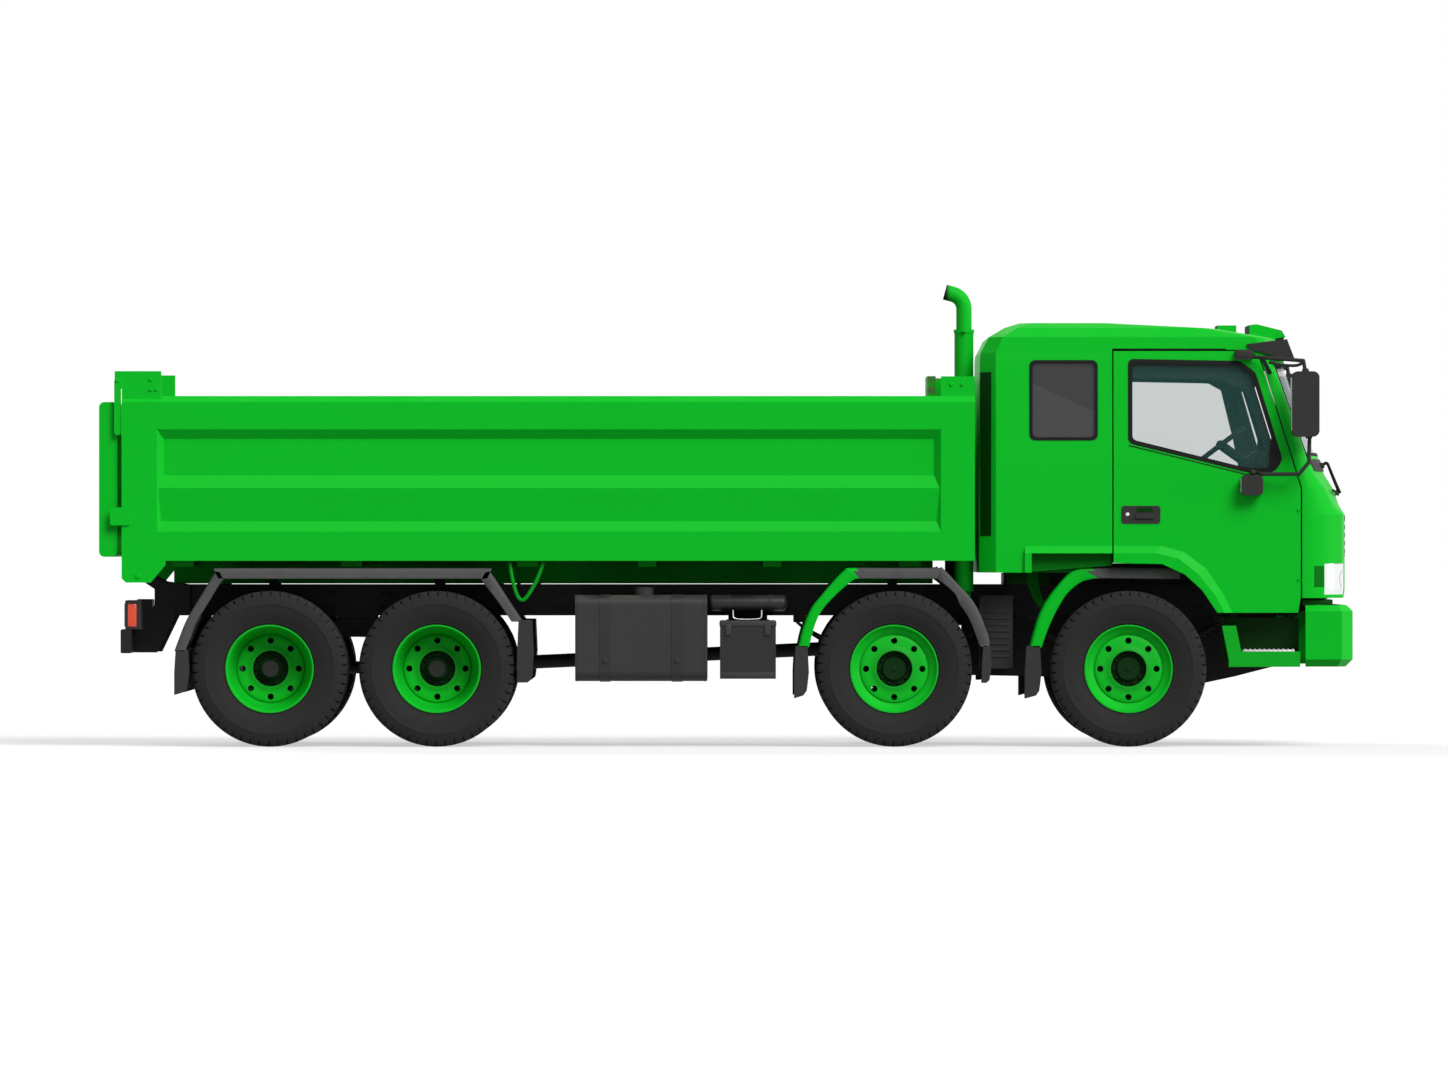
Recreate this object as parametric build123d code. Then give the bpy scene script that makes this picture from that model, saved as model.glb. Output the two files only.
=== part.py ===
"""An eight-wheel rigid dump truck: ladder frame, two steered axles, a driven tandem, a tilting
cab with two doors, and a tipping load bed raised by a telescopic hoist.

Millimetres. +X is forward, +Y is the truck's left side, +Z is up. The origin is on the ground,
midway between the tailgate and the bumper, on the centre line.
"""
import os
from math import cos, radians, sin

from build123d import *

# Running gear
TYRE_RADIUS = 562.0
TYRE_WIDTH = 300.0
TYRE_WIDEST = 0.541
RIM_RADIUS = 300.0
RIM_FLANGE_RADIUS = 318.0
RIM_WALL = 16.0
OUTER_TYRE_Y = 1090.0
TWIN_SPACING = 340.0
FRONT_AXLE_X = (2899.0, 1211.0)
REAR_AXLE_X = (-2086.0, -3290.0)
KINGPIN_Y = 960.0
KINGPIN_RADIUS = 22.0
FRONT_SPINDLE_RADIUS = 45.0
REAR_SPINDLE_RADIUS = 60.0
HUB_RADIUS = 124.0
HUB_FACE_Y = 1152.0
DRUM_RADIUS = 205.0
HAND_HOLE_RADIUS = 23.0
HAND_HOLE_CIRCLE = 203.0
HAND_HOLES = 8
FIT = 0.5
AXLE_BEAM_HALF = (45.0, 55.0)
AXLE_TUBE_RADIUS = 75.0
DRIVE_HOUSING_RADIUS = 205.0
KINGPIN_EYE_RADIUS = 50.0
KNUCKLE_GAP = 4.0
KNUCKLE_CHEEK = 5.0
KNUCKLE_LUG = 36.0

# Ladder frame
RAIL_OUTER_Y = 430.0
RAIL_FLANGE = 80.0
RAIL_WALL = 10.0
RAIL_Z = (943.0, 1168.0)
RAIL_X = (-4152.0, 4146.0)

# Load bed
BED_X = (-4354.0, 1791.0)
BED_OUTER_Y = 1250.0
BED_WALL = 90.0
BED_Z = (1341.0, 2528.0)
BED_FLOOR = 59.0
BED_TOP_CHAMFER = 44.0
HEADBOARD_X = (1460.0, 1520.0)
TIP_AXIS = (-4235.0, 1231.0)
TIP_PIN_RADIUS = 25.0
GATE_X = (-4519.0, -4387.0)
GATE_Z = (1369.0, 2485.0)
GATE_AXIS = (-4380.0, 2640.0)
GATE_PIN_RADIUS = 16.0

# Telescopic hoist
HOIST_X = 1690.0
HOIST_TRUNNION_Z = 1050.0
HOIST_EYE_Z = 2600.0
HOIST_RADIUS = 95.0
HOIST_WALL = 12.0
HOIST_SLIDE_GAP = 3.0
HOIST_STEP = 15.0
HOIST_BASE_Z = 870.0
HOIST_LENGTH = 1610.0
EYE_PIN_RADIUS = 26.0

# Cab
CAB_WALL = 60.0
CAB_FLOOR_Z = (1340.0, 1400.0)
ROOF_SPLIT_Z = 2870.0
DOOR_GAP = 10.0
GLASS_DEPTH = 18.0
GLASS_THICKNESS = 8.0
TILT_AXIS = (4390.0, 1100.0)
TILT_EYE_RADIUS = 30.0
TILT_PIN_RADIUS = 20.0

os.makedirs("parts", exist_ok=True)


def block(x, y, z):
    """A box between three (low, high) pairs."""
    size = [high - low for low, high in (x, y, z)]
    return Pos(sum(x) / 2, sum(y) / 2, sum(z) / 2) * Box(*size)


def side_face(points, y, corner=0):
    """A face in the XZ plane at y, its corners rounded when asked."""
    face = make_face(Polyline(*points, close=True))
    if corner:
        face = fillet(face.vertices(), corner)
    return Plane.XZ.offset(-y) * face


def side_plate(points, y, corner=0):
    """An XZ outline made solid between two y values."""
    return extrude(side_face(points, y[1], corner), y[1] - y[0])


def box_points(x, z):
    return [(x[0], z[0]), (x[1], z[0]), (x[1], z[1]), (x[0], z[1])]


def pin(x, z, radius, y):
    """A round bar along Y."""
    return Pos(x, sum(y) / 2, z) * Rot(90, 0, 0) * Cylinder(radius, y[1] - y[0])


def post(x, y, radius, z):
    return Pos(x, y, sum(z) / 2) * Cylinder(radius, z[1] - z[0])


def rod(start, end, radius):
    """A round bar between two points with round ends, which lets bars join in a chain."""
    start, end = Vector(*start), Vector(*end)
    axis = end - start
    plane = Plane(origin=start, z_dir=axis)
    bar = plane * Pos(0, 0, axis.length / 2) * Cylinder(radius, axis.length)
    return bar + Pos(*start) * Sphere(radius) + Pos(*end) * Sphere(radius)


def bar_chain(points, radius):
    chain = rod(points[0], points[1], radius)
    for start, end in zip(points[1:], points[2:]):
        chain += rod(start, end, radius)
    return chain


def flip(shape):
    return mirror(shape, about=Plane.XZ)


def together(*shapes):
    return Compound([solid for shape in shapes for solid in shape.solids()])


def both(shape):
    """The piece on the right side given, with its twin on the left."""
    return together(shape, flip(shape))


def write(name, shape):
    export_step(shape, f"parts/{name}.step")


# ---------------------------------------------------------------------------- wheels


def tyre(centre_y):
    """A tyre about the Y axis: crowned tread, bulged walls and a bead on the rim."""
    half = TYRE_WIDTH / 2
    bead = half - 45
    widest = RIM_FLANGE_RADIUS + TYRE_WIDEST * (TYRE_RADIUS - RIM_FLANGE_RADIUS)
    with BuildSketch(Plane.XY) as section:
        with BuildLine():
            Polyline((RIM_RADIUS, bead), (RIM_FLANGE_RADIUS + 2, bead))
            ThreePointArc((RIM_FLANGE_RADIUS + 2, bead), (widest, half), (TYRE_RADIUS - 26, half - 14))
            Polyline((TYRE_RADIUS - 26, half - 14), (TYRE_RADIUS, half - 36), (TYRE_RADIUS, 0))
            Polyline((TYRE_RADIUS, 0), (RIM_RADIUS, 0), (RIM_RADIUS, bead))
        make_face()
    half_section = section.sketch
    whole = half_section + mirror(half_section, about=Plane.XZ)
    return Pos(0, centre_y, 0) * revolve(whole, Axis.Y, 360)


def ring(inner, outer, y):
    """A tube about the Y axis between two radii."""
    return pin(0, 0, outer, y) - pin(0, 0, inner, (y[0] - 1, y[1] + 1))


def rim_barrel(centre_y, y):
    """The rim's tube with a flange on each side of its tyre."""
    flange = TYRE_WIDTH / 2 - 45
    barrel = ring(RIM_RADIUS - RIM_WALL, RIM_RADIUS, y)
    for side in (-1, 1):
        inner_edge = centre_y + side * flange
        outer_edge = centre_y + side * (flange + 10)
        barrel += ring(RIM_RADIUS - RIM_WALL, RIM_FLANGE_RADIUS, sorted((inner_edge, outer_edge)))
    return barrel


def hand_holes(y):
    hole = Pos(0, 0, HAND_HOLE_CIRCLE) * pin(0, 0, HAND_HOLE_RADIUS, y)
    return [Rot(0, 360 * turn / HAND_HOLES, 0) * hole for turn in range(HAND_HOLES)]


def front_rim():
    """The rim of a steered wheel: its disc stands near the outer flange, and the hub sits back in it."""
    half = TYRE_WIDTH / 2 - 35
    low, high = OUTER_TYRE_Y - half, OUTER_TYRE_Y + half
    disc = ring(HUB_RADIUS - 4, RIM_RADIUS - RIM_WALL + 1, (high - 55, high - 40))
    for hole in hand_holes((high - 60, high - 35)):
        disc -= hole
    hub = pin(0, 0, HUB_RADIUS, (KINGPIN_Y + 80, HUB_FACE_Y))
    drum = pin(0, 0, DRUM_RADIUS, (KINGPIN_Y + 60, high - 100))
    bore = pin(0, 0, FRONT_SPINDLE_RADIUS + FIT, (KINGPIN_Y + 50, HUB_FACE_Y - 20))
    return rim_barrel(OUTER_TYRE_Y, (low, high)) + disc + hub + drum - bore


def twin_rim():
    """Both rims of a driven pair, bolted back to back between the two tyres."""
    half = TYRE_WIDTH / 2 - 35
    inner_y = OUTER_TYRE_Y - TWIN_SPACING
    middle = OUTER_TYRE_Y - TWIN_SPACING / 2
    low, high = inner_y - half, OUTER_TYRE_Y + half
    rims = rim_barrel(inner_y, (low, high)) + rim_barrel(OUTER_TYRE_Y, (low, high))
    disc = ring(HUB_RADIUS - 4, RIM_RADIUS - RIM_WALL + 1, (middle - 12, middle + 12))
    for hole in hand_holes((middle - 20, middle + 20)):
        disc -= hole
    hub = pin(0, 0, HUB_RADIUS, (middle - 100, high - 160))
    drum = pin(0, 0, DRUM_RADIUS, (low + 20, middle - 60))
    bore = pin(0, 0, REAR_SPINDLE_RADIUS + FIT, (low - 10, high - 180))
    return rims + disc + hub + drum - bore


single_tyre = tyre(OUTER_TYRE_Y)
twin_tyres = together(single_tyre, Pos(0, -TWIN_SPACING, 0) * single_tyre)
single_wheel = front_rim()
twin_wheel = twin_rim()
# Axle number, its x, the tyres on it, the rim on it
WHEELS = [
    (1, FRONT_AXLE_X[0], single_tyre, single_wheel),
    (2, FRONT_AXLE_X[1], single_tyre, single_wheel),
    (3, REAR_AXLE_X[0], twin_tyres, twin_wheel),
    (4, REAR_AXLE_X[1], twin_tyres, twin_wheel),
]
for number, axle_x, rubber, rim in WHEELS:
    place = Pos(axle_x, 0, TYRE_RADIUS)
    write(f"tyre_{number}_left", place * rubber)
    write(f"rim_{number}_left", place * rim)
    write(f"tyre_{number}_right", place * flip(rubber))
    write(f"rim_{number}_right", place * flip(rim))

# ---------------------------------------------------------------------------- axles

SPRING_Y = (RAIL_OUTER_Y - RAIL_FLANGE, RAIL_OUTER_Y)
SPRING_SEAT_Z = TYRE_RADIUS + AXLE_BEAM_HALF[1]


def knuckle():
    """The left steering knuckle: a fork round the beam's eye, the kingpin and the spindle."""
    top, bottom = TYRE_RADIUS + AXLE_BEAM_HALF[1], TYRE_RADIUS - AXLE_BEAM_HALF[1]
    cheek_y = KINGPIN_Y + KINGPIN_EYE_RADIUS + KNUCKLE_GAP
    outer_y = cheek_y + KNUCKLE_CHEEK
    fork = block((-60, 60), (cheek_y, outer_y), (bottom, top))
    for low in (top + 2, bottom - 2 - KNUCKLE_LUG):
        fork += post(0, KINGPIN_Y, KINGPIN_EYE_RADIUS, (low, low + KNUCKLE_LUG))
        fork += block((-40, 40), (KINGPIN_Y, outer_y), (low, low + KNUCKLE_LUG))
    fork += block((-40, 40), (cheek_y, outer_y), (bottom - 2 - KNUCKLE_LUG, top + 2 + KNUCKLE_LUG))
    kingpin = post(0, KINGPIN_Y, KINGPIN_RADIUS, (bottom - 20, top + 20))
    spindle = pin(0, TYRE_RADIUS, FRONT_SPINDLE_RADIUS, (cheek_y, HUB_FACE_Y - 25))
    return fork + kingpin + spindle


def front_axle():
    """A forged beam, dropped between the springs, with an eye for each kingpin."""
    half_x, half_z = AXLE_BEAM_HALF
    beam = block((-half_x, half_x), (-KINGPIN_Y, KINGPIN_Y), (-half_z, half_z))
    eye_hole = post(0, KINGPIN_Y, KINGPIN_RADIUS + FIT, (-half_z - 1, half_z + 1))
    eye = post(0, KINGPIN_Y, KINGPIN_EYE_RADIUS, (-half_z, half_z))
    beam = beam + eye + flip(eye) - eye_hole - flip(eye_hole)
    for web_x in ((-half_x - 1, -15), (15, half_x + 1)):
        for web_y in ((-800, -460), (-320, 320), (460, 800)):
            beam -= block(web_x, web_y, (-half_z + 22, half_z - 22))
    return Pos(0, 0, TYRE_RADIUS) * beam


def rear_axle():
    """A drive axle: tube, round final-drive housing and a spindle at each end."""
    tube_end = OUTER_TYRE_Y - TWIN_SPACING - TYRE_WIDTH / 2 + 30
    spindle_end = OUTER_TYRE_Y + TYRE_WIDTH / 2 - 225
    axle = pin(0, 0, AXLE_TUBE_RADIUS, (-tube_end, tube_end)) + Sphere(DRIVE_HOUSING_RADIUS)
    axle += Pos(120, 0, 0) * Rot(0, 90, 0) * Cylinder(90, 240)
    axle += pin(0, 0, REAR_SPINDLE_RADIUS, (-spindle_end, spindle_end))
    return Pos(0, 0, TYRE_RADIUS) * axle


for number, axle_x in enumerate(FRONT_AXLE_X, start=1):
    write(f"knuckle_{number}_left", Pos(axle_x, 0, 0) * knuckle())
    write(f"knuckle_{number}_right", Pos(axle_x, 0, 0) * flip(knuckle()))
steered = [Pos(x, 0, 0) * front_axle() for x in FRONT_AXLE_X]
driven = [Pos(x, 0, 0) * rear_axle() for x in REAR_AXLE_X]
write("axles", together(*steered, *driven))


def arched_spring(x, half_length, end_z, middle_z, thickness):
    """A leaf pack seen from the side: two arcs, thickest in the middle."""
    with BuildSketch(Plane.XZ) as section:
        with BuildLine():
            ThreePointArc((x - half_length, end_z), (x, middle_z), (x + half_length, end_z))
            Line((x + half_length, end_z), (x + half_length, end_z + thickness / 3))
            ThreePointArc(
                (x + half_length, end_z + thickness / 3),
                (x, middle_z + thickness),
                (x - half_length, end_z + thickness / 3),
            )
            Line((x - half_length, end_z + thickness / 3), (x - half_length, end_z))
        make_face()
    return Pos(0, -SPRING_Y[0], 0) * extrude(section.sketch, SPRING_Y[1] - SPRING_Y[0])


def springs():
    """Right side: one pack over each steered axle and one rocking pack over the tandem."""
    made = []
    for x in FRONT_AXLE_X:
        pack = arched_spring(x, 700, RAIL_Z[0] - 60, SPRING_SEAT_Z, 66)
        for end in (x - 680, x + 680):
            pack += block((end - 40, end + 40), (-SPRING_Y[1], -SPRING_Y[0]), (RAIL_Z[0] - 50, RAIL_Z[0]))
        made.append(pack)
    middle = sum(REAR_AXLE_X) / 2
    reach = (REAR_AXLE_X[0] - REAR_AXLE_X[1]) / 2
    tandem_seat = TYRE_RADIUS + AXLE_TUBE_RADIUS
    pack = arched_spring(middle, reach, tandem_seat, tandem_seat + 150, 120)
    hanger_z = (tandem_seat + 200, RAIL_Z[0])
    hanger = block((middle - 140, middle + 140), (-SPRING_Y[1], -SPRING_Y[0]), hanger_z)
    made.append(pack + hanger)
    return together(*made)


write("leaf_springs", both(springs()))

# ---------------------------------------------------------------------------- frame


def rail():
    """The right rail: a channel open towards the centre line."""
    outer = block(RAIL_X, (-RAIL_OUTER_Y, -RAIL_OUTER_Y + RAIL_FLANGE), RAIL_Z)
    hollow_z = (RAIL_Z[0] + RAIL_WALL, RAIL_Z[1] - RAIL_WALL)
    hollow = block(RAIL_X, (-RAIL_OUTER_Y + RAIL_WALL, -RAIL_OUTER_Y + RAIL_FLANGE + 1), hollow_z)
    return outer - hollow


write("frame_rails", both(rail()))

INNER_WEB_Y = RAIL_OUTER_Y - RAIL_WALL
HINGE_BRACKET_Y = (RAIL_OUTER_Y, RAIL_OUTER_Y + 40)
TRUNNION_PLATE_Y = (205.0, 240.0)
TRUNNION_RADIUS = 35.0


def tip_hinge_bracket():
    """The right plate on the rail's end that carries the bed's hinge pin."""
    x, z = TIP_AXIS
    outline = [(x, z - 40), (RAIL_X[0] + 260, RAIL_Z[0] + 20), (RAIL_X[0] + 260, RAIL_Z[1] - 5)]
    outline += [(RAIL_X[0] + 60, RAIL_Z[1] + 20), (x, z + 40)]
    plate_y = (-HINGE_BRACKET_Y[1], -HINGE_BRACKET_Y[0])
    plate = side_plate(outline, plate_y) + pin(x, z, 40, plate_y)
    return plate + pin(x, z, TIP_PIN_RADIUS, (-HINGE_BRACKET_Y[1] - 65, -HINGE_BRACKET_Y[0]))


def cab_hinge_bracket():
    """The right arm on the rail's front end that carries the cab's hinge pin."""
    x, z = TILT_AXIS
    arm_y = (-RAIL_OUTER_Y, -RAIL_OUTER_Y + 40)
    outline = [(RAIL_X[1], RAIL_Z[0] + 10), (x - 12, z - TILT_EYE_RADIUS + 3)]
    outline += [(x, z + TILT_EYE_RADIUS), (RAIL_X[1], RAIL_Z[1] - 10)]
    arm = side_plate(outline, arm_y) + pin(x, z, TILT_EYE_RADIUS, arm_y)
    return arm + pin(x, z, TILT_PIN_RADIUS, (-RAIL_OUTER_Y - 50, -RAIL_OUTER_Y + 40))


# x range and z range of each beam between the rails' webs
CROSS_BEAMS = {
    "rear": ((RAIL_X[0], RAIL_X[0] + 90), (960, 1150)),
    "tandem rear": ((-3300, -3220), (970, 1140)),
    "tandem front": ((-2160, -2080), (970, 1140)),
    "middle": ((-700, -620), (970, 1140)),
    "front": ((RAIL_X[1] - 90, RAIL_X[1]), (960, 1060)),
}
HOIST_BEAM_X = ((HOIST_X - 270, HOIST_X - 190), (HOIST_X + 190, HOIST_X + 270))
HOIST_BEAM_Z = (960, 1150)


def cross_beam(x, z):
    return block(x, (-INNER_WEB_Y, INNER_WEB_Y), z)


def hoist_cradle():
    """Two beams and the pair of plates between them that hold the hoist's trunnion."""
    rear, front = HOIST_BEAM_X
    cradle = cross_beam(rear, HOIST_BEAM_Z) + cross_beam(front, HOIST_BEAM_Z)
    between = (rear[1], front[0])
    for low, high in (TRUNNION_PLATE_Y, (-TRUNNION_PLATE_Y[1], -TRUNNION_PLATE_Y[0])):
        cradle += block(between, (low, high), (HOIST_TRUNNION_Z - 60, HOIST_TRUNNION_Z + 60))
        cradle -= pin(HOIST_X, HOIST_TRUNNION_Z, TRUNNION_RADIUS + FIT, (low - 1, high + 1))
    return cradle


CAB_REST_X = (2014.0, 2187.0)
plain_beams = [cross_beam(x, z) for x, z in CROSS_BEAMS.values()]
cab_rest = block(CAB_REST_X, (-RAIL_OUTER_Y, RAIL_OUTER_Y), (RAIL_Z[1], 1250))
brackets = together(both(tip_hinge_bracket()), both(cab_hinge_bracket()))
write("crossmembers", together(*plain_beams, hoist_cradle(), cab_rest, brackets))

ENGINE_X = (2750.0, 3950.0)
engine = block(ENGINE_X, (-330, 330), (700, 1320))
write("engine", engine)

SHAFT_START = (ENGINE_X[0], 0.0, 790.0)
SHAFT_END = (REAR_AXLE_X[0] + 240, 0.0, TYRE_RADIUS + 20)


def driveshaft():
    """The shaft from the engine to the first driven axle and the short one to the second."""
    start, end = Vector(*SHAFT_START), Vector(*SHAFT_END)
    plane = Plane(origin=end, z_dir=start - end)
    long_shaft = plane * Pos(0, 0, (start - end).length / 2) * Cylinder(50, (start - end).length + 60)
    long_shaft &= block((SHAFT_END[0], SHAFT_START[0]), (-100, 100), (400, 1000))
    short_x = (REAR_AXLE_X[1] + 240, REAR_AXLE_X[0] - 195)
    short = Pos(sum(short_x) / 2, 0, TYRE_RADIUS) * Rot(0, 90, 0) * Cylinder(45, short_x[1] - short_x[0])
    rear_ball = Pos(REAR_AXLE_X[0], 0, TYRE_RADIUS) * Sphere(DRIVE_HOUSING_RADIUS + FIT)
    return together(long_shaft, short - rear_ball)


write("driveshaft", driveshaft())

# ---------------------------------------------------------------------------- side equipment

TANK_X = (-1089.0, -137.0)
TANK_Z = (473.0, 1094.0)
TANK_Y = (530.0, 1180.0)


def fuel_tank():
    """The right tank with the two brackets that carry it from the rail."""
    tank = block(TANK_X, (-TANK_Y[1], -TANK_Y[0]), TANK_Z)
    tank = fillet(tank.edges().filter_by(Axis.X), 70)
    for x in (TANK_X[0] + 210, TANK_X[1] - 210):
        tank += block((x - 40, x + 40), (-TANK_Y[0] - 30, -RAIL_OUTER_Y), (RAIL_Z[0] + 10, RAIL_Z[1] - 90))
    cap_x = (TANK_X[0] + TANK_X[1]) / 2 + 20
    tank += post(cap_x, -TANK_Y[1] + 150, 72, (TANK_Z[1] - 10, TANK_Z[1] + 45))
    return tank


write("fuel_tanks", both(fuel_tank()))

BATTERY_X = (-45.0, 358.0)
BATTERY_Z = (490.0, 905.0)
battery_box = block(BATTERY_X, (-1150, -560), BATTERY_Z)
battery_box += block((BATTERY_X[0] + 60, BATTERY_X[1] - 60), (-600, -RAIL_OUTER_Y), (870, 960))

AIR_TANK_X = (-130.0, 442.0)
AIR_TANK_RADIUS = 58.0
AIR_TANK_Z = 1036.0


def air_tanks():
    """Two air tanks on each side, hung on a plate against the rail."""
    made = None
    for y in (-1000, -700):
        tank = Pos(sum(AIR_TANK_X) / 2, y, AIR_TANK_Z)
        tank = tank * Rot(0, 90, 0) * Cylinder(AIR_TANK_RADIUS, AIR_TANK_X[1] - AIR_TANK_X[0])
        made = tank if made is None else made + tank
    plate_z = (AIR_TANK_Z - 12, AIR_TANK_Z + 12)
    for x in (0, 300):
        made += block((x, x + 50), (-1000, -RAIL_OUTER_Y), plate_z)
    return made


write("air_tanks", both(air_tanks()))

FILTER_X = (1834.0, 2071.0)
FILTER_INNER_Y = RAIL_OUTER_Y + 20
intake_box = block(FILTER_X, (-900, -FILTER_INNER_Y), (562, 1089))
filter_foot_x = (FILTER_X[0] + 40, FILTER_X[1] - 40)
intake_box += block(filter_foot_x, (-FILTER_INNER_Y - 10, -RAIL_OUTER_Y), (RAIL_Z[0] + 20, 1080))
write("equipment_boxes", together(battery_box, both(intake_box)))

STACK = (1719.0, -840.0)
SLEEVE_RADIUS = 69.0
PIPE_RADIUS = 56.0
SLEEVE_Z = (1120.0, 3004.0)
BEND_START_Z = 3162.0
BEND_RADIUS = 110.0
BEND_ANGLE = 75.0


def exhaust_stack():
    """An upright silencer behind the cab whose tailpipe bends rearwards over the bed."""
    x, y = STACK
    angle = radians(BEND_ANGLE)
    middle = radians(BEND_ANGLE / 2)
    centre_x = x - BEND_RADIUS

    def on_bend(turn):
        return (centre_x + BEND_RADIUS * cos(turn), y, BEND_START_Z + BEND_RADIUS * sin(turn))

    bend_end = Vector(*on_bend(angle))
    tip = bend_end + Vector(-sin(angle), 0, cos(angle)) * 58
    path = Wire(
        [
            Edge.make_line((x, y, SLEEVE_Z[1] - 20), (x, y, BEND_START_Z)),
            Edge.make_three_point_arc((x, y, BEND_START_Z), on_bend(middle), bend_end),
            Edge.make_line(bend_end, tip),
        ]
    )
    start = Plane(origin=(x, y, SLEEVE_Z[1] - 20), z_dir=(0, 0, 1))
    pipe = sweep(start * Circle(PIPE_RADIUS), path=path)
    bore = sweep(start * Circle(PIPE_RADIUS - 6), path=path)
    stack = post(x, y, SLEEVE_RADIUS, SLEEVE_Z) + pipe - bore
    arm_x = (x - 50, x + 50)
    return stack + block(arm_x, (y + SLEEVE_RADIUS - 20, -RAIL_OUTER_Y), (RAIL_Z[1] - 90, RAIL_Z[1]))


write("exhaust_stack", exhaust_stack())

# ---------------------------------------------------------------------------- mudguards

GUARD_Y = (930.0, 1240.0)
CAB_GUARD_Y = (880.0, 1230.0 - CAB_WALL)
TWIN_GUARD_Y = (590.0, 1240.0)
# The sheet's thickness as a share of the flange's depth
GUARD_SHEET = 0.3
GUARD_ARM_Z = 1270.0


def guard(stations, y):
    """A right mudguard: a thin sheet along the outer line and a deep flange at its outer side."""
    outer = [(ox, oz) for ox, oz, ix, iz in stations]
    inner = [(ix, iz) for ox, oz, ix, iz in stations]
    sheet_inner = [
        (ox + GUARD_SHEET * (ix - ox), oz + GUARD_SHEET * (iz - oz)) for ox, oz, ix, iz in stations
    ]
    flange = side_plate([*outer, *reversed(inner)], (-y[1], -y[1] + 30))
    return flange + side_plate([*outer, *reversed(sheet_inner)], (-y[1], -y[0]))


def guard_bar(x, y_end, z):
    """The arm that carries a mudguard from the rail's outer face."""
    arm = block((x - 30, x + 30), (-y_end + 60, -RAIL_OUTER_Y), (z - 45, z))
    return arm + block((x - 30, x + 30), (-RAIL_OUTER_Y - 25, -RAIL_OUTER_Y), (RAIL_Z[0] + 30, z - 45))


# Each mudguard's (outer x, outer z, inner x, inner z) from the rear to the front
GUARD_1 = [
    (2187, 718, 2273, 718),
    (2245, 922, 2347, 914),
    (2347, 1109, 2448, 1094),
    (2471, 1253, 2573, 1195),
    (2545, 1290, 2680, 1212),
    (3272, 1290, 3272, 1210),
]
GUARD_2 = [
    (520, 720, 597, 720),
    (605, 986, 679, 969),
    (778, 1200, 860, 1160),
    (880, 1289, 950, 1211),
    (1562, 1289, 1520, 1211),
    (1683, 1156, 1640, 1110),
    (1785, 1039, 1730, 960),
    (1858, 883, 1800, 800),
    (1898, 722, 1834, 722),
]
GUARD_TANDEM = [
    (-3976, 685, -3900, 685),
    (-3885, 920, -3815, 900),
    (-3690, 1246, -3648, 1175),
    (-3640, 1287, -3600, 1210),
    (-1745, 1287, -1785, 1210),
    (-1690, 1246, -1744, 1176),
    (-1468, 900, -1546, 900),
]
# Mudflap x range, z range and y range
FLAPS = [
    ((2155, 2262), (348, 716), CAB_GUARD_Y),
    ((490, 586), (350, 716), GUARD_Y),
    ((1842, 1902), (461, 714), GUARD_Y),
    ((-3976, -3877), (374, 685), TWIN_GUARD_Y),
    ((-1506, -1402), (464, 900), TWIN_GUARD_Y),
]


def mudguard_set():
    """All right mudguards, each with its flaps hanging from its ends."""
    sets = [
        (GUARD_1, CAB_GUARD_Y, FRONT_AXLE_X[:1], FLAPS[0:1]),
        (GUARD_2, GUARD_Y, FRONT_AXLE_X[1:], FLAPS[1:3]),
        (GUARD_TANDEM, TWIN_GUARD_Y, REAR_AXLE_X, FLAPS[3:5]),
    ]
    made = []
    for stations, y, arms, flaps in sets:
        piece = guard(stations, y)
        for x in arms:
            piece += guard_bar(x, y[1], GUARD_ARM_Z)
        for flap_x, flap_z, flap_y in flaps:
            piece += block(flap_x, (-flap_y[1], -flap_y[0]), (flap_z[0], flap_z[1] + 12))
        made.append(piece)
    return together(*made)


write("mudguards", both(mudguard_set()))

# ---------------------------------------------------------------------------- chassis ends

BUMPER_X = (4173.0, 4519.0)
BUMPER_Y = 1235.0
BUMPER_Z = (574.0, 1021.0)
BUMPER_WALL = 52.0
# How far the corner facet reaches along X and along Y
BUMPER_CORNER = (86.0, 150.0)
BUMPER_TOP_BEVEL = 43.0
BUMPER_LOW_BEVEL = 56.0


def bumper_plan():
    """The bumper's outline seen from above, with a facet at each front corner."""
    facet_x, facet_y = BUMPER_X[1] - BUMPER_CORNER[0], BUMPER_Y - BUMPER_CORNER[1]
    right = [(BUMPER_X[0], -BUMPER_Y), (facet_x, -BUMPER_Y), (BUMPER_X[1], -facet_y)]
    left = [(x, -y) for x, y in reversed(right)]
    return make_face(Polyline(*right, *left, close=True))


bumper = Pos(0, 0, BUMPER_Z[0]) * extrude(bumper_plan(), BUMPER_Z[1] - BUMPER_Z[0])
bumper = chamfer(bumper.faces().sort_by(Axis.Z)[-1].edges().sort_by(Axis.X)[1:], BUMPER_TOP_BEVEL)
bumper = chamfer(bumper.faces().sort_by(Axis.Z)[0].edges().sort_by(Axis.X)[1:], BUMPER_LOW_BEVEL)
hollow_plan = offset(bumper_plan(), -BUMPER_WALL, kind=Kind.INTERSECTION)
bumper -= Pos(0, 0, BUMPER_Z[0] - 1) * extrude(hollow_plan, BUMPER_Z[1] - BUMPER_Z[0] + 2)
rear_mouth_y = (-BUMPER_Y + BUMPER_WALL, BUMPER_Y - BUMPER_WALL)
rear_mouth_x = (BUMPER_X[0] - 1, BUMPER_X[0] + BUMPER_WALL + 1)
bumper -= block(rear_mouth_x, rear_mouth_y, (BUMPER_Z[0] - 1, BUMPER_Z[1] + 1))
TOW_BORE_RADIUS = 25.0
TOW_BORE_Y = 330.0
for y in (-TOW_BORE_Y, TOW_BORE_Y):
    bumper -= Pos(BUMPER_X[1] - 40, y, 800) * Rot(0, 90, 0) * Cylinder(TOW_BORE_RADIUS, 200)
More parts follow.
